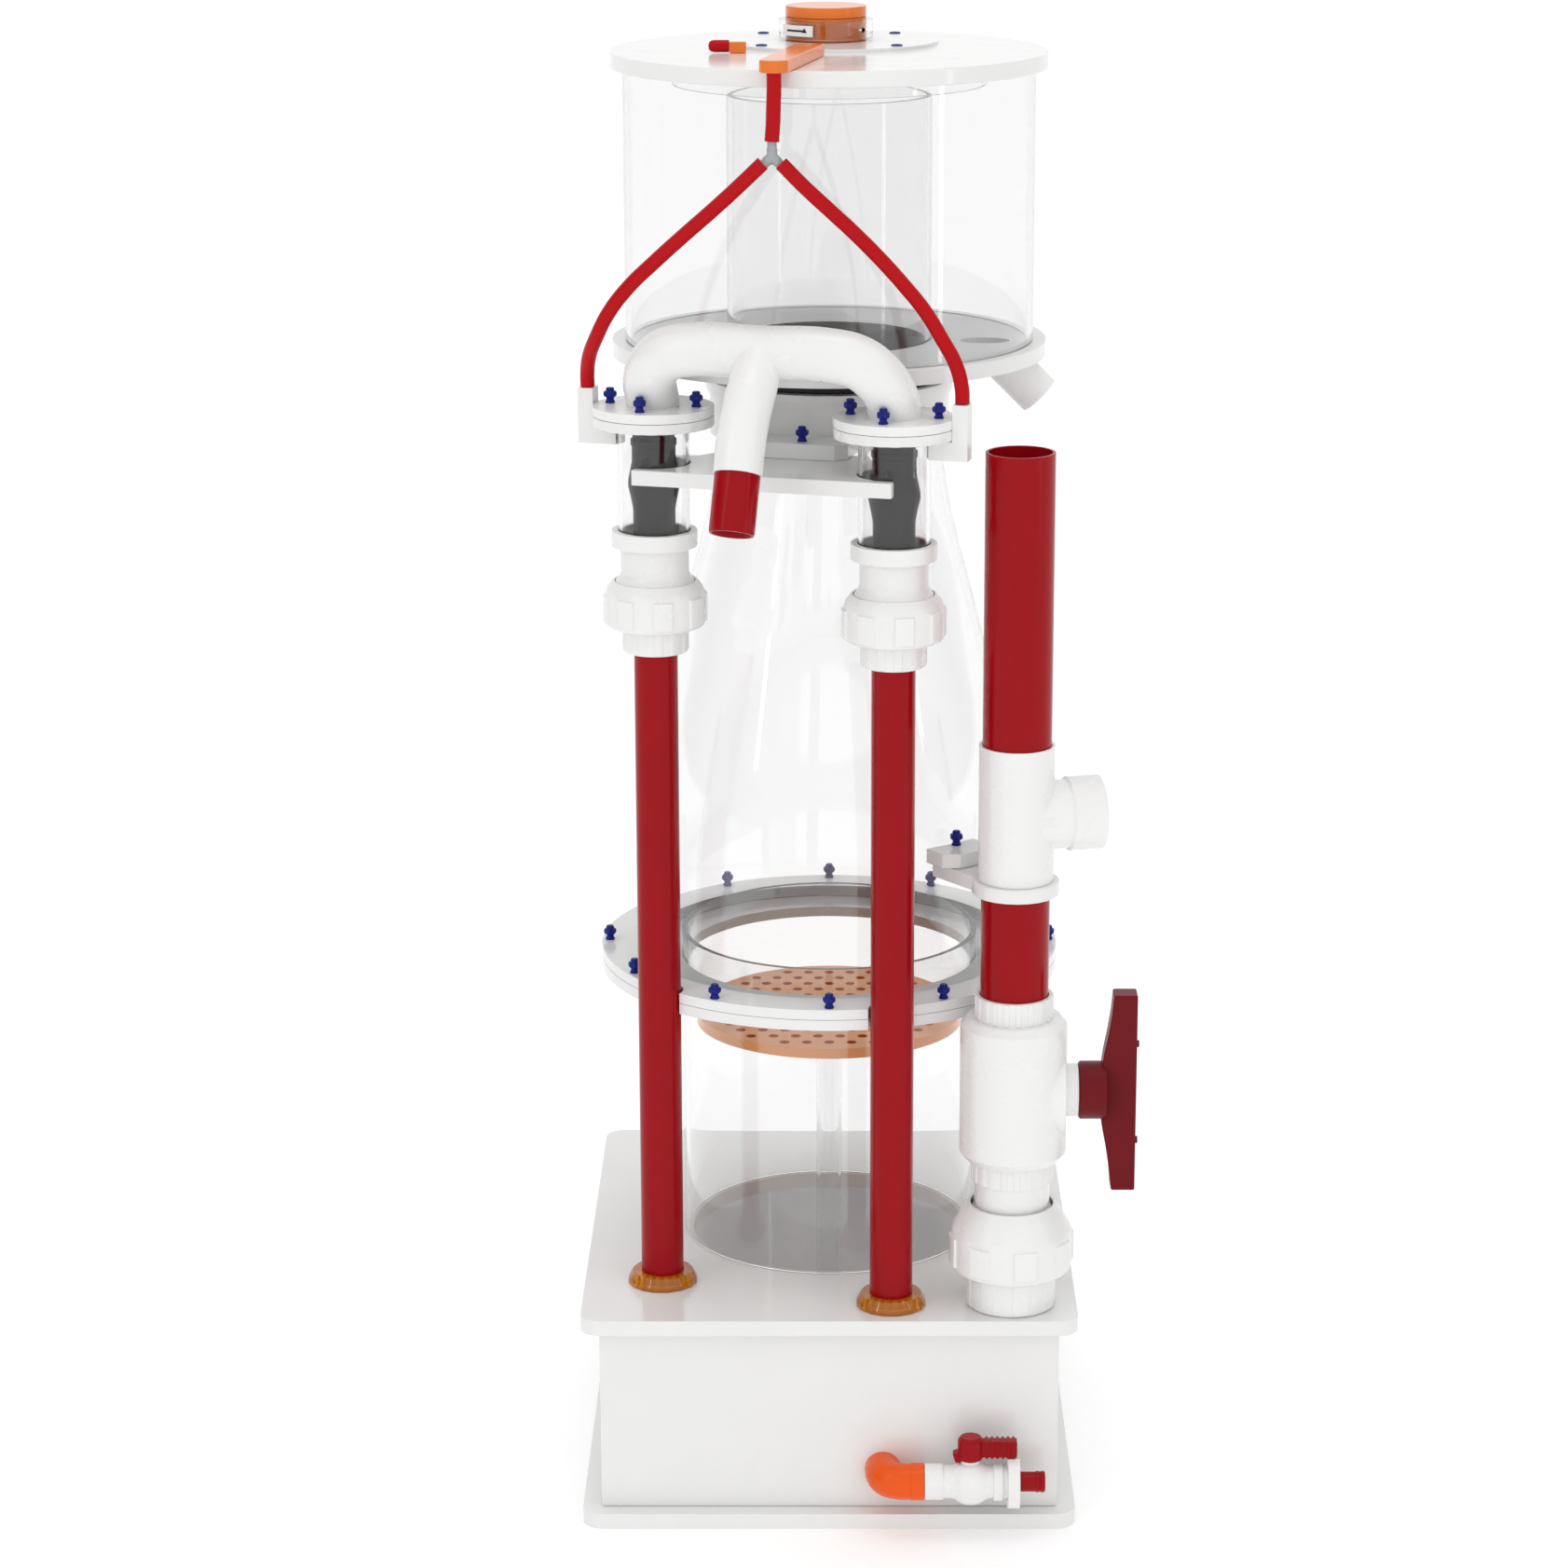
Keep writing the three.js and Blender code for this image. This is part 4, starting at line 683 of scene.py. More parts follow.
class SKIMMER_OT_stage(bpy.types.Operator):
    """Makes the floor, the soft lights and the camera"""
    bl_idname = "skimmer.stage"
    bl_label = "Stage"

    def execute(self, context):
        select_only(None)
        bpy.ops.mesh.primitive_plane_add(size=300, location=(0, 0, 0))
        floor = context.object
        floor.name = "floor"
        settle_place(floor)
        pale = bpy.data.materials.new("pale_floor")
        pale.use_nodes = True
        pale.node_tree.nodes["Principled BSDF"].inputs["Base Color"].default_value = (
            linear("#FAFAFA"))
        pale.node_tree.nodes["Principled BSDF"].inputs["Roughness"].default_value = 0.9
        pale.node_tree.nodes["Principled BSDF"].inputs["Emission Color"].default_value = (
            linear("#FFFFFF"))
        pale.node_tree.nodes["Principled BSDF"].inputs["Emission Strength"].default_value = 0.14
        floor.data.materials.append(pale)
        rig.stage(floor)

        context.scene.world = studio_world()
        context.scene.view_settings.view_transform = "Standard"

        for name, place, aim, size, power in (
                ("key", (-2.6, -2.4, 2.4), (0, 0, 0.7), (0.14, 2.6), 8),
                ("side", (2.8, -1.4, 1.6), (0, 0, 0.7), (0.1, 2.6), 4),
                ("top", (0, 0, 6), (0, 0, 0), (2.5, 2.5), 26)):
            light = bpy.data.lights.new(name, "AREA")
            light.shape = "RECTANGLE"
            light.size, light.size_y = size
            light.energy = power
            lamp = bpy.data.objects.new(name, light)
            lamp.location = place
            lamp.rotation_euler = (Vector(aim) - Vector(place)).to_track_quat("-Z", "Y").to_euler()
            context.scene.collection.objects.link(lamp)

        view = bpy.data.cameras.new("view")
        view.sensor_width = 36
        view.lens = 96.5
        view.shift_x = -0.0288
        camera = bpy.data.objects.new("view", view)
        camera.location = (0, -3.896, 1.7226)
        camera.rotation_euler = (math.radians(90 - 15.3), 0, 0)
        context.scene.collection.objects.link(camera)
        context.scene.camera = camera
        return {"FINISHED"}


def studio_world():
    """A white surround that grows darker towards both sides, so clear edges show."""
    world = bpy.data.worlds.new("studio")
    world.use_nodes = True
    tree = world.node_tree
    tree.nodes.clear()
    place = add(tree, "ShaderNodeTexCoord")
    split = add(tree, "ShaderNodeSeparateXYZ", {}, {"Vector": (place, "Generated")})
    side = add(tree, "ShaderNodeMath", {"operation": "ABSOLUTE"})
    tree.links.new(split.outputs["X"], side.inputs[0])
    shade = add(tree, "ShaderNodeValToRGB", {}, {"Fac": (side, "Value")})
    stops = shade.color_ramp.elements
    stops[0].position, stops[0].color = 0.5, linear("#FFFFFF")
    stops[1].position, stops[1].color = 0.98, linear("#2C2E30")
    for position, tone in ((0.76, "#F0F0F0"), (0.88, "#C4C4C4")):
        stop = stops.new(position)
        stop.color = linear(tone)
    sky = add(tree, "ShaderNodeBackground", {"Strength": 1.0}, {"Color": (shade, "Color")})
    add(tree, "ShaderNodeOutputWorld", {}, {"Surface": (sky, "Background")})
    return world


class SKIMMER_OT_hoses(bpy.types.Operator):
    """Makes the three air hoses and the joiner between them"""
    bl_idname = "skimmer.hoses"
    bl_label = "Air hoses"

    def execute(self, context):
        arms = []
        for slant, length in (((0, 0, 1), 16), ((-1, 0, -1), 15), ((1, 0, -1), 15)):
            arms.append(turned([(0, -1), (4.6, -1), (4.6, 5), (5, 5.6), (4.2, 7.5), (4.2, length),
                                (0, length)], at=JUNCTION, toward=slant, sides=32))
        joiner = placed(joined(arms), "y_joiner", "stand", "grey_polypropylene", ["y_connector"])
        feed = route_curve(FEED_ROUTE, HOSE_DIAMETER / 2, "air_hose_feed")
        placed(feed, "air_hose_feed", "stand", "red_silicone", ["feed_hose"])
        for name, route, node, extra in (
                ("air_hose_left", LEFT_ROUTE, "hose_left", [joiner, feed]),
                ("air_hose_right", RIGHT_ROUTE, "hose_right", [])):
            hose = route_curve(route, HOSE_DIAMETER / 2, name)
            placed(hose, name, "stand", "red_silicone", [node])
            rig.cord(hose, exit=route[0], length=round(route_length(route), 3),
                    diameter=HOSE_DIAMETER, far_end="object", stiffness="medium", lay="hanging",
                    with_pieces=extra)
        return {"FINISHED"}


# ---------- sump box and reaction tube ----------
class SKIMMER_OT_sump(bpy.types.Operator):
    """Makes the white sump box, its base plate and its top plate"""
    bl_idname = "skimmer.sump"
    bl_label = "Sump box"

    def execute(self, context):
        for node in ("base_plate", "top_plate"):
            low, high = (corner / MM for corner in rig.box(node))
            plate = slab(low, high, corner=PLATE_CORNER, edge=0)
            if node == "top_plate":
                combined(plate, [disc(TUBE_HOLE_R, low.z - 5, high.z + 5)])
            else:
                # the part inside the walls is parted from the rim, so it can take the painted shade of the closed box
                rim = PLATE_RIM + SHEET_WALL
                combined(plate, [slab((low.x + rim, low.y + rim, high.z - 0.1),
                                      (high.x - rim, high.y - rim, high.z + 5), edge=0)])
            rounded(plate, 0.6, 2, 60)
            placed(plate, node + "_sheet", "stand", "cast_white_acrylic", [node])
            if node == "base_plate":
                shade_inside(plate)
        low, high = (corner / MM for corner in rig.box("sump_box"))
        walls = slab(low, high, edge=0)
        hollow = slab((low.x + SHEET_WALL, low.y + SHEET_WALL, low.z - 5),
                      (high.x - SHEET_WALL, high.y - SHEET_WALL, high.z + 5), edge=0)
        combined(walls, [hollow])
        rounded(walls, 1.0, 2)
        placed(walls, "sump_walls", "stand", "cast_white_acrylic", ["sump_box"])
        # the walls' inner faces get the painted shade too
        shade_inside(walls)
        return {"FINISHED"}


def shade_inside(piece):
    """Gives the painted shade, a grey finish with a faint painted glow, to the faces that look into the closed box."""
    low, high = (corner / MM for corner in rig.box("sump_box"))
    piece.data.materials.append(finish_of("shaded_acrylic"))
    for face in piece.data.polygons:
        x, y = face.center.x / MM, face.center.y / MM
        within = abs(x) < high.x - 9 and abs(y) < high.y - 9
        flat = abs(face.normal.z) > 0.9
        # faces inside the box take the painted shade
        if within and (face.area > 0.1 if flat else True) and face.center.z > 0.01:
            face.material_index = 1


class SKIMMER_OT_reaction_tube(bpy.types.Operator):
    """Makes the reaction tube, its perforated plate on its post, and the main flanges"""
    bl_idname = "skimmer.reaction_tube"
    bl_label = "Reaction tube"

    def execute(self, context):
        low, high = heights("reaction_tube")
        placed(ring(137.5, 142.5, low, high, edge=0.5), "tube_wall", "stand", "clear_acrylic",
               ["reaction_tube"])
        low, high = heights("plate_post")
        placed(ring(9.5, 12.5, low, high, sides=PIPE_AROUND, edge=0.3), "post_tube", "stand",
               "clear_acrylic", ["plate_post"])

        low, high = heights("bubble_plate")
        drills = []
        rows = int(117 / (HOLE_PITCH * 0.866))
        drill = disc(HOLE_R, low - 2, high + 2, sides=20)
        for row in range(-rows, rows + 1):
            for column in range(-6, 7):
                x = column * HOLE_PITCH + (HOLE_PITCH / 2 if row % 2 else 0)
                y = row * HOLE_PITCH * 0.866
                if 17.3 < math.hypot(x, y) < 117:
                    drills.append(copy_at(drill, Matrix.Translation((x * MM, y * MM, 0))))
        bpy.data.objects.remove(drill)
        plate = combined(disc(129, low, high), [joined(drills)])
        placed(rounded(plate, 0.0), "perforated_plate", "stand", "perforated_acrylic",
               ["bubble_plate"])
        # the hole walls take the bored finish: painted shade in the bores
        plate.data.materials.append(finish_of("bored_acrylic"))
        for face in plate.data.polygons:
            on_rim = math.hypot(face.center.x, face.center.y) > 0.125
            if abs(face.normal.z) < 0.5 and not on_rim:
                face.material_index = 1

        for name, inner, finish, node, bottom, top, outer in (
                ("flange_lower", 143.0, "cast_white_acrylic", "lower_flange",
                 *heights("lower_flange"), FLANGE_R),
                ("flange_upper", 184.5, "cast_white_acrylic", "upper_flange",
                 *heights("upper_flange"), FLANGE_R),
                ("flange_gasket", 186.0, "black_rubber", None, 490.7, 491.7, FLANGE_R - 0.1)):
            flange = ring(inner, outer, bottom, top, sides=RIM_AROUND)
            notches = []
            for pipe in ("inlet_pipe_left", "inlet_pipe_right"):
                x, y = middle(pipe)
                notches.append(disc(22, bottom - 5, top + 5, at=(x, y, 0), sides=PIPE_AROUND))
            combined(flange, notches)
            rounded(flange, 0.3 if node is None else 0.9)
            placed(flange, name, "stand", finish, [node] if node else [])
        return {"FINISHED"}


# ---------- cone and neck ----------
# the cone's outside: radius and height above its foot
CONE_STATIONS = [
    (184, 0), (184, 60), (184, 100), (182.3, 130), (178.6, 160), (173.2, 190), (166.2, 222),
    (158, 256), (149.4, 290), (140.9, 326), (132.4, 358), (123.8, 390), (116.2, 420),
    (110.5, 450), (106.8, 476), (105.2, 498), (NECK_R, 520), (NECK_R, 534),
]
CONE_WALL = 6


class SKIMMER_OT_cone(bpy.types.Operator):
    """Makes the clear cone, the white socket round its neck and the brackets on it"""
    bl_idname = "skimmer.cone"
    bl_label = "Cone"

    def execute(self, context):
        foot, top = heights("cone")
        rise = top - CONE_STATIONS[-1][1]
        outer = [(184, foot)] + [(r, rise + h) for r, h in CONE_STATIONS[1:]]
        inner = [(r - CONE_WALL, z) for r, z in reversed(outer)]
        placed(rounded(turned(outer + inner), 0.0), "cone_wall", "stand", "clear_acrylic", ["cone"])

        top = heights("neck_socket")[1]
        socket = turned([
            (105.5, top - 52), (112.5, top - 52), (112.5, top - 16), (116, top - 9), (116, top),
            (105.5, top)], edge=0.8)
        tab = refined("neck_socket", edge=0.0)
        combined(tab, [disc(112.5, top - 40, top + 5)])
        combined(tab, [slab((-150, -80, top - 60), (150, 150, top + 5), edge=0),
                       slab((-150, -200, top - 37.9), (150, 150, top + 5), edge=0)])
        rounded(tab, 0.8)
        placed(joined([socket, tab]), "neck_ring", "stand", "cast_white_acrylic", ["neck_socket"])

        for node in ("riser_tab", "riser_bracket", "wing_bracket"):
            placed(refined(node, 0.9), node + "_sheet", "stand", "cast_white_acrylic", [node])
        return {"FINISHED"}


# ---------- cup ----------
class SKIMMER_OT_cup(bpy.types.Operator):
    """Makes the lift-off collection cup with its neck tube, spout and seal"""
    bl_idname = "skimmer.cup"
    bl_label = "Collection cup"

    def execute(self, context):
        low, high = heights("cup_floor")
        floor = turned([(95.5, low), (104.4, low), (104.4, high - 14), (202, high - 14),
                        (202, high), (95.5, high)], sides=RIM_AROUND)
        combined(floor, [disc(16.5, -40, 40, at=SPOUT_AT, toward=(1, 0, -1), sides=PIPE_AROUND)])
        placed(rounded(floor, 1.2), "cup_base", "cup", "cast_white_acrylic", ["cup_floor"])
        low, high = heights("cup_tube")
        placed(ring(185, 190, low, high, sides=RIM_AROUND, edge=0.4), "cup_wall", "cup",
               "clear_acrylic", ["cup_tube"])
        low, high = heights("neck_tube")
        placed(ring(90, 95, low, high, edge=0.4), "foam_neck", "cup", "clear_acrylic",
               ["neck_tube"])

        spout = turned([(16, 4), (20, 4), (20, 61.4), (19.4, 62), (16.6, 62), (16, 61.4)],
                       at=SPOUT_AT, toward=(1, 0, -1), sides=PIPE_AROUND, edge=0.0)
        combined(spout, [disc(200, 1080, 1150)])
        placed(rounded(spout, 0.0), "waste_spout", "cup", "moulded_white_pvc", ["cup_spout"])

        select_only(None)
        seal_radius = context.scene.skimmer_sizes.oring_radius
        bpy.ops.mesh.primitive_torus_add(
            location=(0, 0, 1.0568), major_radius=0.107, minor_radius=seal_radius,
            major_segments=AROUND, minor_segments=16)
        seal = context.object
        settle_place(seal)
        placed(rounded(seal, 0.0, angle=40), "neck_seal", "cup", "black_rubber")
        return {"FINISHED"}


# ---------- lid and air valve ----------
class SKIMMER_OT_lid(bpy.types.Operator):
    """Makes the lid, its hatch, the air valve, the air bar and the capped port"""
    bl_idname = "skimmer.lid"
    bl_label = "Lid and air valve"

    def execute(self, context):
        low, high = heights("lid")
        plate = disc(201, low, high - 3, sides=RIM_AROUND)
        placed(rounded(plate, 1.2, 3), "lid_plate", "lid_assembly", "cast_white_acrylic", ["lid"])
        hatch = disc(102, high - 4, high, at=(*HATCH, 0), edge=0.6)
        placed(hatch, "hatch_plate", "lid_assembly", "cast_white_acrylic")
        screw = turned([(0, high - 1), (5.4, high - 1), (5.4, high + 0.6), (4.6, high + 1.2),
                        (2.4, high + 1.2), (2.2, high + 0.3), (0, high + 0.3)], sides=32)
        heads = [copy_at(screw, Matrix.Translation((
            (HATCH[0] + 88 * math.cos(a)) * MM, (HATCH[1] + 88 * math.sin(a)) * MM, 0)))
            for a in (math.radians(45 + 90 * i) for i in range(4))]
        bpy.data.objects.remove(screw)
        placed(joined(heads), "hatch_screws", "lid_assembly", "blue_nylon")

        low, high = heights("lid_ring")
        placed(ring(140, 145, low, high, edge=0.4), "drip_ring", "lid_assembly", "clear_acrylic",
               ["lid_ring"])

        low, high = heights("air_valve_body")
        middle_z = (low + high) / 2
        body = ring(VALVE_R - 6, VALVE_R, low, high, at=(*VALVE, 0))
        combined(body, [valve_window(-90, -50, middle_z)])
        placed(rounded(body, 0.4), "valve_drum", "lid_assembly", "orange_acrylic",
               ["air_valve_body"])
        low, high = heights("air_valve_cap")
        cap = disc(VALVE_R, low, high, at=(*VALVE, 0), edge=1.0)
        placed(cap, "valve_cap", "lid_assembly", "orange_acrylic", ["air_valve_cap"])
        low, high = heights("air_valve_ring")
        collar = ring(38.3, 44, low, high, at=(*VALVE, 0))
        bearing = math.radians(-38)
        combined(collar, [valve_window(-105, -50, middle_z),
                          disc(2.4, 30, 60, at=(*VALVE, middle_z),
                               toward=(math.cos(bearing), math.sin(bearing), 0), sides=24)])
        placed(rounded(collar, 0.4), "valve_ring", "air_ring", "clear_acrylic",
               ["air_valve_ring"])
        placed(label_strip(middle_z), "direction_label", "air_ring", "printed_label")
        placed(label_arrow(middle_z), "direction_arrow", "air_ring", "black_rubber")

        placed(refined("air_bar", 1.0), "air_channel", "lid_assembly", "orange_acrylic",
               ["air_bar"])
        placed(refined("port_block", 0.8), "port_body", "lid_assembly", "orange_acrylic",
               ["port_block"])
        low, high = (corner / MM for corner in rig.box("port_cap"))
        cap_y, cap_z = (low.y + high.y) / 2, (low.z + high.z) / 2
        stub = turned([(0, 0), (5, 0), (5.5, 0.6), (5.5, 13.5), (5.1, 16), (3.9, 18), (1.9, 18.9),
                       (0, 19)], at=(high.x, cap_y, cap_z), toward=(-1, 0, 0), sides=48)
        placed(stub, "port_stopper", "port_plug", "red_silicone", ["port_cap"])
        return {"FINISHED"}


def valve_window(start, end, middle_z):
    """A wedge through the air valve's wall between two bearings, for cutting."""
    wedge = slab((0, -0.5, middle_z - 3.5), (60, 0.5, middle_z + 3.5), edge=0)
    wedge.data.transform(Matrix.Rotation(math.radians(start), 4, "Z"))
    wedge.data.transform(Matrix.Translation((VALVE[0] * MM, VALVE[1] * MM, 0)))
    along = Vector((-math.sin(math.radians(start)), math.cos(math.radians(start)), 0))
    pick_faces(wedge, lambda face: face.normal.dot(along) > 0.9)
    bpy.ops.mesh.spin(steps=12, angle=math.radians(end - start), axis=(0, 0, 1),
                      center=(VALVE[0] * MM, VALVE[1] * MM, 0))
    bpy.ops.mesh.select_all(action="SELECT")
    bpy.ops.mesh.select_mode(type="VERT")
    bpy.ops.mesh.remove_doubles(threshold=1e-6)
    bpy.ops.mesh.normals_make_consistent(inside=False)
    bpy.ops.object.mode_set(mode="OBJECT")
    return wedge


def label_strip(middle_z):
    """A thin curved label on the ring's left front."""
    strip = ring(44.05, 44.4, middle_z - 5, middle_z + 5, at=(*VALVE, 0), sides=120)
    keep = slab((VALVE[0] - 44, VALVE[1] - 60, middle_z - 8),
                (VALVE[0] - 12, VALVE[1] - 20, middle_z + 8), edge=0)
    return combined(strip, [keep], "INTERSECT")


def label_arrow(middle_z):
    """A plain arrow that shows which way the ring closes."""
    strip = ring(44.3, 44.6, middle_z - 0.9, middle_z + 0.9, at=(*VALVE, 0), sides=120)
    keep = slab((VALVE[0] - 36, VALVE[1] - 60, middle_z - 8),
                (VALVE[0] - 20, VALVE[1] - 20, middle_z + 8), edge=0)
    shaft = combined(strip, [keep], "INTERSECT")
    bearing = math.atan2(-math.sqrt(44.4 ** 2 - 20 ** 2), -20)
    tip = (VALVE[0] + 44.45 * math.cos(bearing), VALVE[1] + 44.45 * math.sin(bearing), middle_z)
    head = disc(3.0, -0.15, 0.15, sides=3, at=tip, toward=(math.cos(bearing), math.sin(bearing), 0))
    return joined([shaft, head])


# ---------- injector columns ----------
class SKIMMER_OT_columns(bpy.types.Operator):
    """Makes the two inlet pipes with their bulkheads, unions, chambers, injectors and heads"""
    bl_idname = "skimmer.columns"
    bl_label = "Injector columns"

    def execute(self, context):
        sizes = context.scene.skimmer_sizes
        for side in ("left", "right"):
            x, y = middle("inlet_pipe_" + side)
            at = (x, y, 0)
            low, high = heights("bulkhead_" + side)
            placed(turned([(20.3, low), (33, low), (33, low + 3.6), (28.5, high), (20.3, high)],
                          at=at, sides=16, swing=11.25, edge=0.5), "bulkhead_nut_" + side, "stand",
                   "amber_acrylic", ["bulkhead_" + side])
            low, high = heights("inlet_pipe_" + side)
            placed(ring(17, 20, low, high, at=at, sides=PIPE_AROUND, edge=0.4), "inlet_" + side,
                   "stand", "extruded_red_pvc", ["inlet_pipe_" + side])

            low, high = heights("union_end_" + side)
            end = turned([(20.5, low), (28.8, low), (29.4, low + 1), (29.4, low + 31.5),
                          (36, low + 31.5), (36, high), (20.5, high)], at=at)
            raised(end, low + 2, low + 30, 12, 0.5, 0.9 * MM)
            placed(end, "pipe_socket_" + side, "stand", "moulded_white_pvc", ["union_end_" + side])

            low, high = heights("union_nut_" + side)
            nut = turned([(31.4, low), (40, low), (44, low + 1.5), (45.5, low + 4),
                          (45.5, high - 12), (43.6, high - 6), (38.6, high), (36.6, high),
                          (37.6, high - 4), (37.6, low + 8), (31.4, low + 8)], at=at)
            raised(nut, low + 3.5, high - 11.5, 8, 0.5, sizes.lug_depth)
            placed(rounded(nut, 0.5, 2, 24), "union_ring_" + side, "nut_" + side,
                   "moulded_white_pvc", ["union_nut_" + side])

            low, high = heights("union_tail_" + side)
            placed(turned([(19, low), (36, low), (36, low + 20.5), (33, low + 24), (31, low + 29),
                           (31, high), (19, high)], at=at, edge=0.5), "tail_" + side, "stand",
                   "moulded_white_pvc", ["union_tail_" + side])
            low, high = heights("chamber_" + side)
            placed(ring(29.5, 32.5, low, high, at=at, sides=PIPE_AROUND, edge=0.3),
                   "chamber_wall_" + side, "stand", "clear_acrylic", ["chamber_" + side])
            low, high = heights("chamber_collar_" + side)
            placed(ring(32.8, 39, low, high, at=at, edge=0.8), "collar_" + side, "stand",
                   "moulded_white_pvc", ["chamber_collar_" + side])
            injector(side, at)
            head(side, at)
        return {"FINISHED"}


def injector(side, at):
    """The black nozzle: a facetted throat with air holes above a waisted, round body."""
    low, high = heights("injector_" + side)
    body = turned([
        (12, low), (19.2, low), (19.2, low + 34), (21.0, low + 44), (23.4, low + 55),
        (23.4, low + 60), (20.6, low + 74), (19.8, low + 78), (19.8, low + 92), (20.8, low + 93),
        (20.8, low + 98), (19, low + 99), (19, low + 102), (20.8, low + 103), (20.8, low + 108),
        (19, low + 109), (19, low + 111), (20.8, low + 112), (20.8, high), (12, high)],
        at=at, sides=PIPE_AROUND)
    holes = [disc(4.2, 10, 30, at=(at[0], at[1], low + 80), sides=24,
                  toward=(math.cos(a), math.sin(a), 0))
             for a in (math.radians(-105 + 90 * i) for i in range(4))]
    combined(body, holes)
    placed(rounded(body, 0.4), "nozzle_" + side, "stand", "black_nylon", ["injector_" + side])


def head(side, at):
    """The chamber's flange with the air block at its outer side."""
    flange = ring(33, HEAD_R, HEAD_SEAM - 9, HEAD_SEAM, at=at, edge=0.8)
    block = refined("chamber_head_" + side, 0.0)
    combined(block, [disc(HEAD_R - 0.4, HEAD_SEAM - 9.5, HEAD_SEAM + 0.5, at=at)])
    rounded(block, 0.9)
    placed(joined([flange, block]), "head_" + side, "stand", "cast_white_acrylic",
           ["chamber_head_" + side])


# ---------- manifold ----------
RUN_RISE = 58            # the run's middle above the caps
RUN_BOW = 38             # and in front of the columns
TURN = math.radians(-15)     # the injector assembly's turn about the tube's axis


def assembly(x, y, z):
    """A point of the injector assembly, in millimetres, in the object's frame."""
    return (x * math.cos(TURN) - y * math.sin(TURN), x * math.sin(TURN) + y * math.cos(TURN), z)


class SKIMMER_OT_manifold(bpy.types.Operator):
    """Makes the bent manifold with its two caps, its branch and the red hose tail"""
    bl_idname = "skimmer.manifold"
    bl_label = "Manifold"

    def execute(self, context):
        half = COLUMN_GAP / 2
        front = COLUMN_GAP * math.sqrt(3) / 2
        climb = ((0, 0, -3), (0, 1, 4), (0, 6, 13), (1.5, 15, 24), (9, 26, 39),
                 (24, 0.9 * RUN_BOW, 0.9 * RUN_RISE), (48, RUN_BOW, RUN_RISE))
        left = [assembly(dx - half, -front - dy, CAP_TOP + dz) for dx, dy, dz in climb]
        right = [assembly(half - dx, -front - dy, CAP_TOP + dz) for dx, dy, dz in climb]
        run_y, run_z = -front - RUN_BOW, CAP_TOP + RUN_RISE
        pipe = pipe_along(left + [assembly(0, run_y, run_z)] + right[::-1], 24, "run")
        branch = pipe_along([assembly(0, run_y - dy, run_z - dz) for dy, dz in (
            (0, 0), (20, 19), (47, 44), (65, 68), (76, 95))], 22, "branch")
        caps = [disc(HEAD_R, CAP_TOP - 8.7, CAP_TOP, at=assembly(x, -front, 0), edge=0.8)
                for x in (-half, half)]
        tilt = math.radians(22)
        down = Vector(assembly(0, -math.sin(tilt), -math.cos(tilt)))
        end = Vector(assembly(0, run_y - 76, run_z - 95))
        # the branch is bored before it joins the run, whose ends cross the caps
        combined(branch, [disc(17, -45, 10, at=end, toward=down, sides=PIPE_AROUND)])
        combined(pipe, [branch], "UNION")
        placed(joined([rounded(pipe, 0.5)] + caps), "manifold_pipe", "stand", "moulded_white_pvc",
               ["manifold"])
        barb = turned([(17.2, -8), (19.4, -8), (20.2, 1), (20.2, 51), (19.4, 53), (17.8, 53),
                       (17.2, 52)], at=end, toward=down, sides=PIPE_AROUND)
        placed(barb, "hose_tail", "stand", "extruded_red_pvc", ["inlet_barb"])
        return {"FINISHED"}


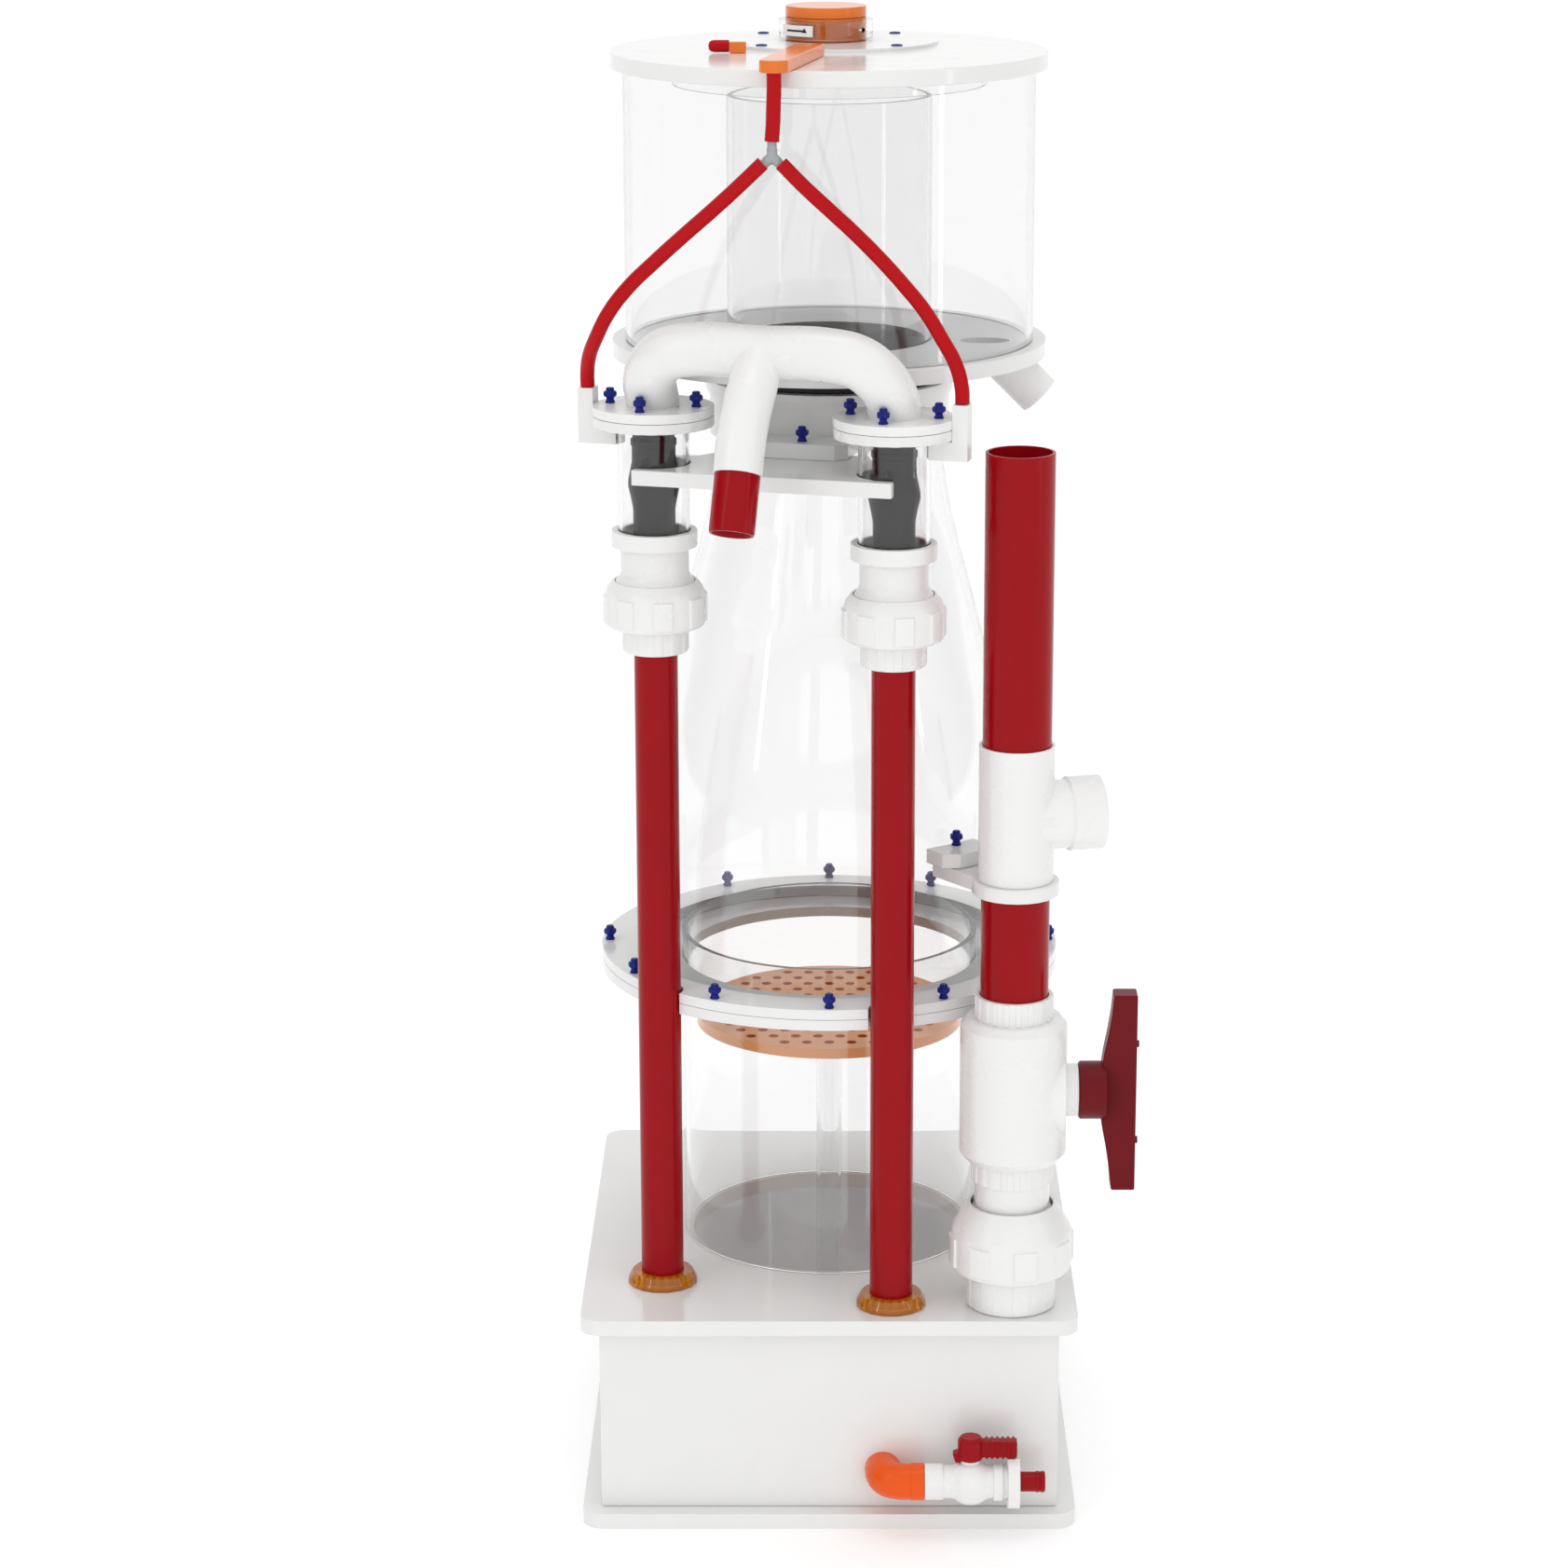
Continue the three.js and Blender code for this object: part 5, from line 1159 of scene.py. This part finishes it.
# ---------- outlet ----------
class SKIMMER_OT_outlet(bpy.types.Operator):
    """Makes the outlet's union, ball valve with its handle, tee and riser pipes"""
    bl_idname = "skimmer.outlet"
    bl_label = "Outlet riser"

    def execute(self, context):
        sizes = context.scene.skimmer_sizes
        x, y = middle("riser_upper")
        at = (x, y, 0)
        low, high = heights("outlet_socket")
        socket = turned([(21.5, low), (40, low), (41.4, low + 1.4), (41.4, low + 41),
                         (48, low + 43), (48, high), (21.5, high)], at=at)
        raised(socket, low + 1.8, low + 40, 8, 0.5, 0.7 * MM)
        placed(socket, "outlet_base", "stand", "moulded_white_pvc", ["outlet_socket"])
        low, high = heights("outlet_nut")
        nut = turned([(43.8, low), (50, low), (55, low + 3), (56.5, low + 7), (56.5, low + 36),
                      (55, low + 43), (47, low + 57), (41, high), (38.6, high), (38.6, high - 2),
                      (50, low + 42), (50, low + 8), (43.8, low + 8)], at=at)
        raised(nut, low + 6.5, low + 36.5, 8, 0.5, sizes.lug_depth)
        placed(nut, "outlet_ring", "nut_outlet", "moulded_white_pvc", ["outlet_nut"])
        self.valve(x, y, at, sizes)
        self.handle(x, y)
        for part in ("lower", "upper"):
            node = "riser_" + part
            placed(ring(28.5, 31.5, *heights(node), at=at, edge=0.5), "riser_pipe_" + part, "stand",
                   "extruded_red_pvc", [node])
        self.tee(x, y, at)
        return {"FINISHED"}

    def valve(self, x, y, at, sizes):
        low, high = heights("outlet_valve_body")
        body = turned([
            (25, low), (48, low), (48, low + 6), (37, 307), (35, 309), (35, 334), (37.4, 334.6),
            (37.4, 355), (43, 355), (49.5, 363), (49.5, 486), (43.5, 493), (35.6, 493),
            (35.6, high), (32, high), (32, 480), (25, 480)], at=at, sides=160)
        raised(body, 335.5, 354, 20, 0.5, sizes.rib_depth)
        raised(body, 494, high - 1, 20, 0.5, sizes.rib_depth)
        boss = disc(24.5, 40, 60, at=(x, y, BALL_Z), toward=(1, 0, 0), edge=0.8)
        rounded(body, 0.6)
        combined(body, [disc(39, 30, 47, at=(x, y, BALL_Z), toward=(1, 0, 0))], "UNION")
        placed(joined([body, boss]), "valve_housing", "stand", "moulded_white_pvc",
               ["outlet_valve_body"])

    def handle(self, x, y):
        start, end = x + 60.5, x + 81.5
        axis = {"at": (0, y, BALL_Z), "toward": (1, 0, 0)}
        # the grip's back is hollowed towards the hub, and narrower there
        grip = slab((end - 1, y - 12, BALL_Z - 95), (end + 32, y + 12, BALL_Z + 95), edge=0)
        select_only(grip)
        bpy.ops.object.mode_set(mode="EDIT")
        bpy.ops.mesh.select_all(action="SELECT")
        bpy.ops.mesh.subdivide(number_cuts=9)
        bpy.ops.object.mode_set(mode="OBJECT")
        for vertex in grip.data.vertices:
            span = abs(vertex.co.z / MM - BALL_Z)
            back = (vertex.co.x / MM - (end - 1)) / 33
            lift = 0 if span < 30 else 11 * min(1, (span - 30) / 58) ** 0.7
            vertex.co.x += lift * (1 - back) * MM
            narrow = 1 - 0.3 * max(0, 1 - span / 60) * (1 - back)
            vertex.co.y = (y + (vertex.co.y / MM - y) * narrow) * MM
        hub = turned([(0, start), (25.5, start), (27, start + 1.5), (27, end + 4), (0, end + 4)],
                     **axis)
        neck = disc(9, x + 20, start + 1, sides=48, **axis)
        pins = [disc(3.4, end + 30, end + 34.5, at=(0, y, BALL_Z + rise), toward=(1, 0, 0),
                     sides=32, edge=0.5) for rise in (-49, 45)]
        rounded(grip, 1.6, 3, 40)
        placed(joined([grip, hub, neck] + pins), "valve_handle", "outlet_ball", "dark_red_nylon",
               ["outlet_handle"])

    def tee(self, x, y, at):
        low, high = heights("tee")
        body = disc(34.5, low, high, at=at)
        bearing = math.radians(13)
        way = {"at": (x, y, TEE_BRANCH_Z), "toward": (math.cos(bearing), math.sin(bearing), 0)}
        branch = turned([(0, 0), (31.5, 0), (31.5, 46), (34, 48), (34, 78), (0, 78)], **way)
        combined(body, [branch], "UNION")
        combined(body, [disc(32, low - 5, low + 28, at=at), disc(32, high - 28, high + 5, at=at),
                        disc(28.5, low, high, at=at), disc(30, 0, 90, **way)])
        placed(rounded(body, 1.0), "tee_fitting", "stand", "moulded_white_pvc", ["tee"])


# ---------- drain cock ----------
class SKIMMER_OT_drain(bpy.types.Operator):
    """Makes the drain elbow and the small ball cock with its lever and hose tail"""
    bl_idname = "skimmer.drain"
    bl_label = "Drain cock"

    def execute(self, context):
        x, y, z, wall = 50.6, -272, 54, -237.6
        elbow = pipe_along([(x, wall, z), (x, wall - 9, z), (x + 0.6, y + 16, z), (x + 5, y + 6, z),
                            (x + 14, y + 0.8, z), (x + 24, y, z), (88.5, y, z)], 17, "elbow")
        rim = ring(14, 17.6, 76, 88.7, at=(0, y, z), toward=(1, 0, 0), sides=PIPE_AROUND, edge=0.6)
        placed(joined([rounded(elbow, 0.0), rim]), "drain_bend", "stand", "orange_pvc",
               ["drain_elbow"])

        along = {"at": (0, y, z), "toward": (1, 0, 0), "sides": PIPE_AROUND}
        ball_x = 132
        bulge = [(22 * math.cos(a), ball_x + 22 * math.sin(a))
                 for a in (math.radians(-42 + 12 * i) for i in range(8))]
        body = turned([(9, 89), (16.4, 89), (17, 90), (17, 106), (15.5, 107.5), (15.5, 114)] + bulge
                      + [(15.5, 150), (15.5, 153), (18, 154), (18, 162), (15.5, 163), (15.5, 167),
                         (25, 167), (25, 178), (9, 178)], **along)
        boss = disc(9, z + 10, z + 23, at=(ball_x, y, 0), sides=48, edge=0.6)
        tabs = [slab((166.5, y - 6, z + sign * 21 - 4), (178.2, y + 6, z + sign * 21 + 4), edge=0.8)
                for sign in (-1, 1)]
        placed(joined([rounded(body, 0.7), boss] + tabs), "cock_housing", "stand",
               "moulded_white_pvc", ["drain_valve_body"])
        tail = turned([(7.5, 178.4), (9.4, 178.4), (9.4, 193), (10, 193.8), (10, 196.4),
                       (9.5, 196.9), (9.5, 197.6), (10, 198.1), (10, 200.6), (9.2, 202),
                       (7.5, 202)], **along)
        placed(tail, "drain_tail", "stand", "extruded_red_pvc", ["drain_barb"])

        lever_z = z + 23.3
        hub = turned([(0, lever_z), (10.6, lever_z), (12, lever_z + 2), (12, lever_z + 19),
                      (9.6, lever_z + 22.5), (0, lever_z + 23)], at=(ball_x, y, 0), sides=48)
        arm = slab((ball_x + 4, y - 6, lever_z + 3), (ball_x + 43.6, y + 6, lever_z + 19), edge=1.6)
        ribs = [slab((ball_x + 14 + 5 * i, y - 6.9, lever_z + 2.4),
                     (ball_x + 16.4 + 5 * i, y + 6.9, lever_z + 19.8), edge=0.6) for i in range(6)]
        heel = slab((ball_x - 16.6, y - 5.6, lever_z + 1.6), (ball_x - 2, y + 5.6, lever_z + 12),
                    edge=1.6)
        heel.data.transform(Matrix.Translation((ball_x * MM, y * MM, (lever_z + 8) * MM))
                            @ Matrix.Rotation(math.radians(-18), 4, "Y")
                            @ Matrix.Translation((-ball_x * MM, -y * MM, -(lever_z + 8) * MM)))
        stem = disc(5, z, lever_z + 1, at=(ball_x, y, 0), sides=32)
        placed(joined([rounded(hub, 0.8), arm, heel, stem] + ribs), "cock_lever", "drain_ball",
               "extruded_red_pvc", ["drain_lever"])
        return {"FINISHED"}


# ---------- thumbscrews ----------
class SKIMMER_OT_screws(bpy.types.Operator):
    """Makes one blue thumbscrew and puts copies on the flanges, heads and tabs"""
    bl_idname = "skimmer.screws"
    bl_label = "Thumbscrews"

    def execute(self, context):
        screw = turned([(0, 0), (4.4, 0), (4.4, 1.6), (3.5, 2.4), (3.5, 4.6), (5.0, 5.6),
                        (5.4, 6.2), (5.4, 10.2), (5.0, 10.8), (3.7, 11), (3.7, 13.2), (2.9, 14),
                        (0, 14)], sides=36)
        raised(screw, 6.3, 10.1, 6, 0.5, 0.6 * MM)
        rounded(screw, 0.25)
        flange_top = heights("upper_flange")[1]
        for index in range(12):
            bearing = math.radians(30 * index)
            self.put(screw, f"flange_screw_{index + 1:02d}",
                     (FLANGE_SCREW_R * math.cos(bearing), FLANGE_SCREW_R * math.sin(bearing),
                      flange_top), bearing)
        for side in ("left", "right"):
            x, y = middle("inlet_pipe_" + side)
            for index in range(4):
                bearing = math.radians(-15 + 90 * index)
                self.put(screw, f"head_screw_{side}_{index + 1}",
                         (x + HEAD_SCREW_R * math.cos(bearing),
                          y + HEAD_SCREW_R * math.sin(bearing), CAP_TOP), bearing)
        tab_x, tab_y, tab_z = assembly(11, -136, heights("wing_bracket")[1] + 14.3)
        self.put(screw, "neck_tab_screw", (tab_x, tab_y, tab_z), 0)
        self.put(screw, "riser_tab_screw", (118, -150, heights("riser_tab")[1]), 0.4)
        bpy.data.objects.remove(screw)
        return {"FINISHED"}

    def put(self, screw, name, place, bearing):
        twin = copy_at(screw, Matrix.Translation(Vector(place) * MM)
                       @ Matrix.Rotation(bearing, 4, "Z"))
        placed(twin, name, "stand", "blue_nylon")


OPERATORS = (
    SKIMMER_OT_stage, SKIMMER_OT_hoses, SKIMMER_OT_sump, SKIMMER_OT_reaction_tube,
    SKIMMER_OT_cone, SKIMMER_OT_cup, SKIMMER_OT_lid, SKIMMER_OT_columns, SKIMMER_OT_manifold,
    SKIMMER_OT_outlet, SKIMMER_OT_drain, SKIMMER_OT_screws,
)


class SKIMMER_PT_panel(bpy.types.Panel):
    """Lists the skimmer's pieces and settings"""
    bl_idname = "SKIMMER_PT_panel"
    bl_label = "Protein skimmer"
    bl_space_type = "VIEW_3D"
    bl_region_type = "UI"
    bl_category = "Skimmer"

    def draw(self, context):
        for group in (context.scene.skimmer_sizes, context.scene.skimmer_colours):
            for name in group.__annotations__:
                self.layout.prop(group, name)
        for operator in OPERATORS:
            self.layout.operator(operator.bl_idname)


CLASSES = (SkimmerSizes, SkimmerColours, *OPERATORS, SKIMMER_PT_panel)


def register():
    for entry in CLASSES:
        bpy.utils.register_class(entry)
    bpy.types.Scene.skimmer_sizes = bpy.props.PointerProperty(type=SkimmerSizes)
    bpy.types.Scene.skimmer_colours = bpy.props.PointerProperty(type=SkimmerColours)


def unregister():
    del bpy.types.Scene.skimmer_colours
    del bpy.types.Scene.skimmer_sizes
    for entry in reversed(CLASSES):
        bpy.utils.unregister_class(entry)


def main():
    register()
    bpy.ops.skimmer.stage()
    bpy.ops.skimmer.hoses()
    bpy.ops.skimmer.sump()
    bpy.ops.skimmer.reaction_tube()
    bpy.ops.skimmer.cone()
    bpy.ops.skimmer.cup()
    bpy.ops.skimmer.lid()
    bpy.ops.skimmer.columns()
    bpy.ops.skimmer.manifold()
    bpy.ops.skimmer.outlet()
    bpy.ops.skimmer.drain()
    bpy.ops.skimmer.screws()
    low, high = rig.bounds()
    with open("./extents.json", "w") as file:
        json.dump({"cad": [list(CAD_LOW), list(CAD_HIGH)], "visual": [list(low), list(high)]}, file)


if __name__ == "__main__":
    main()
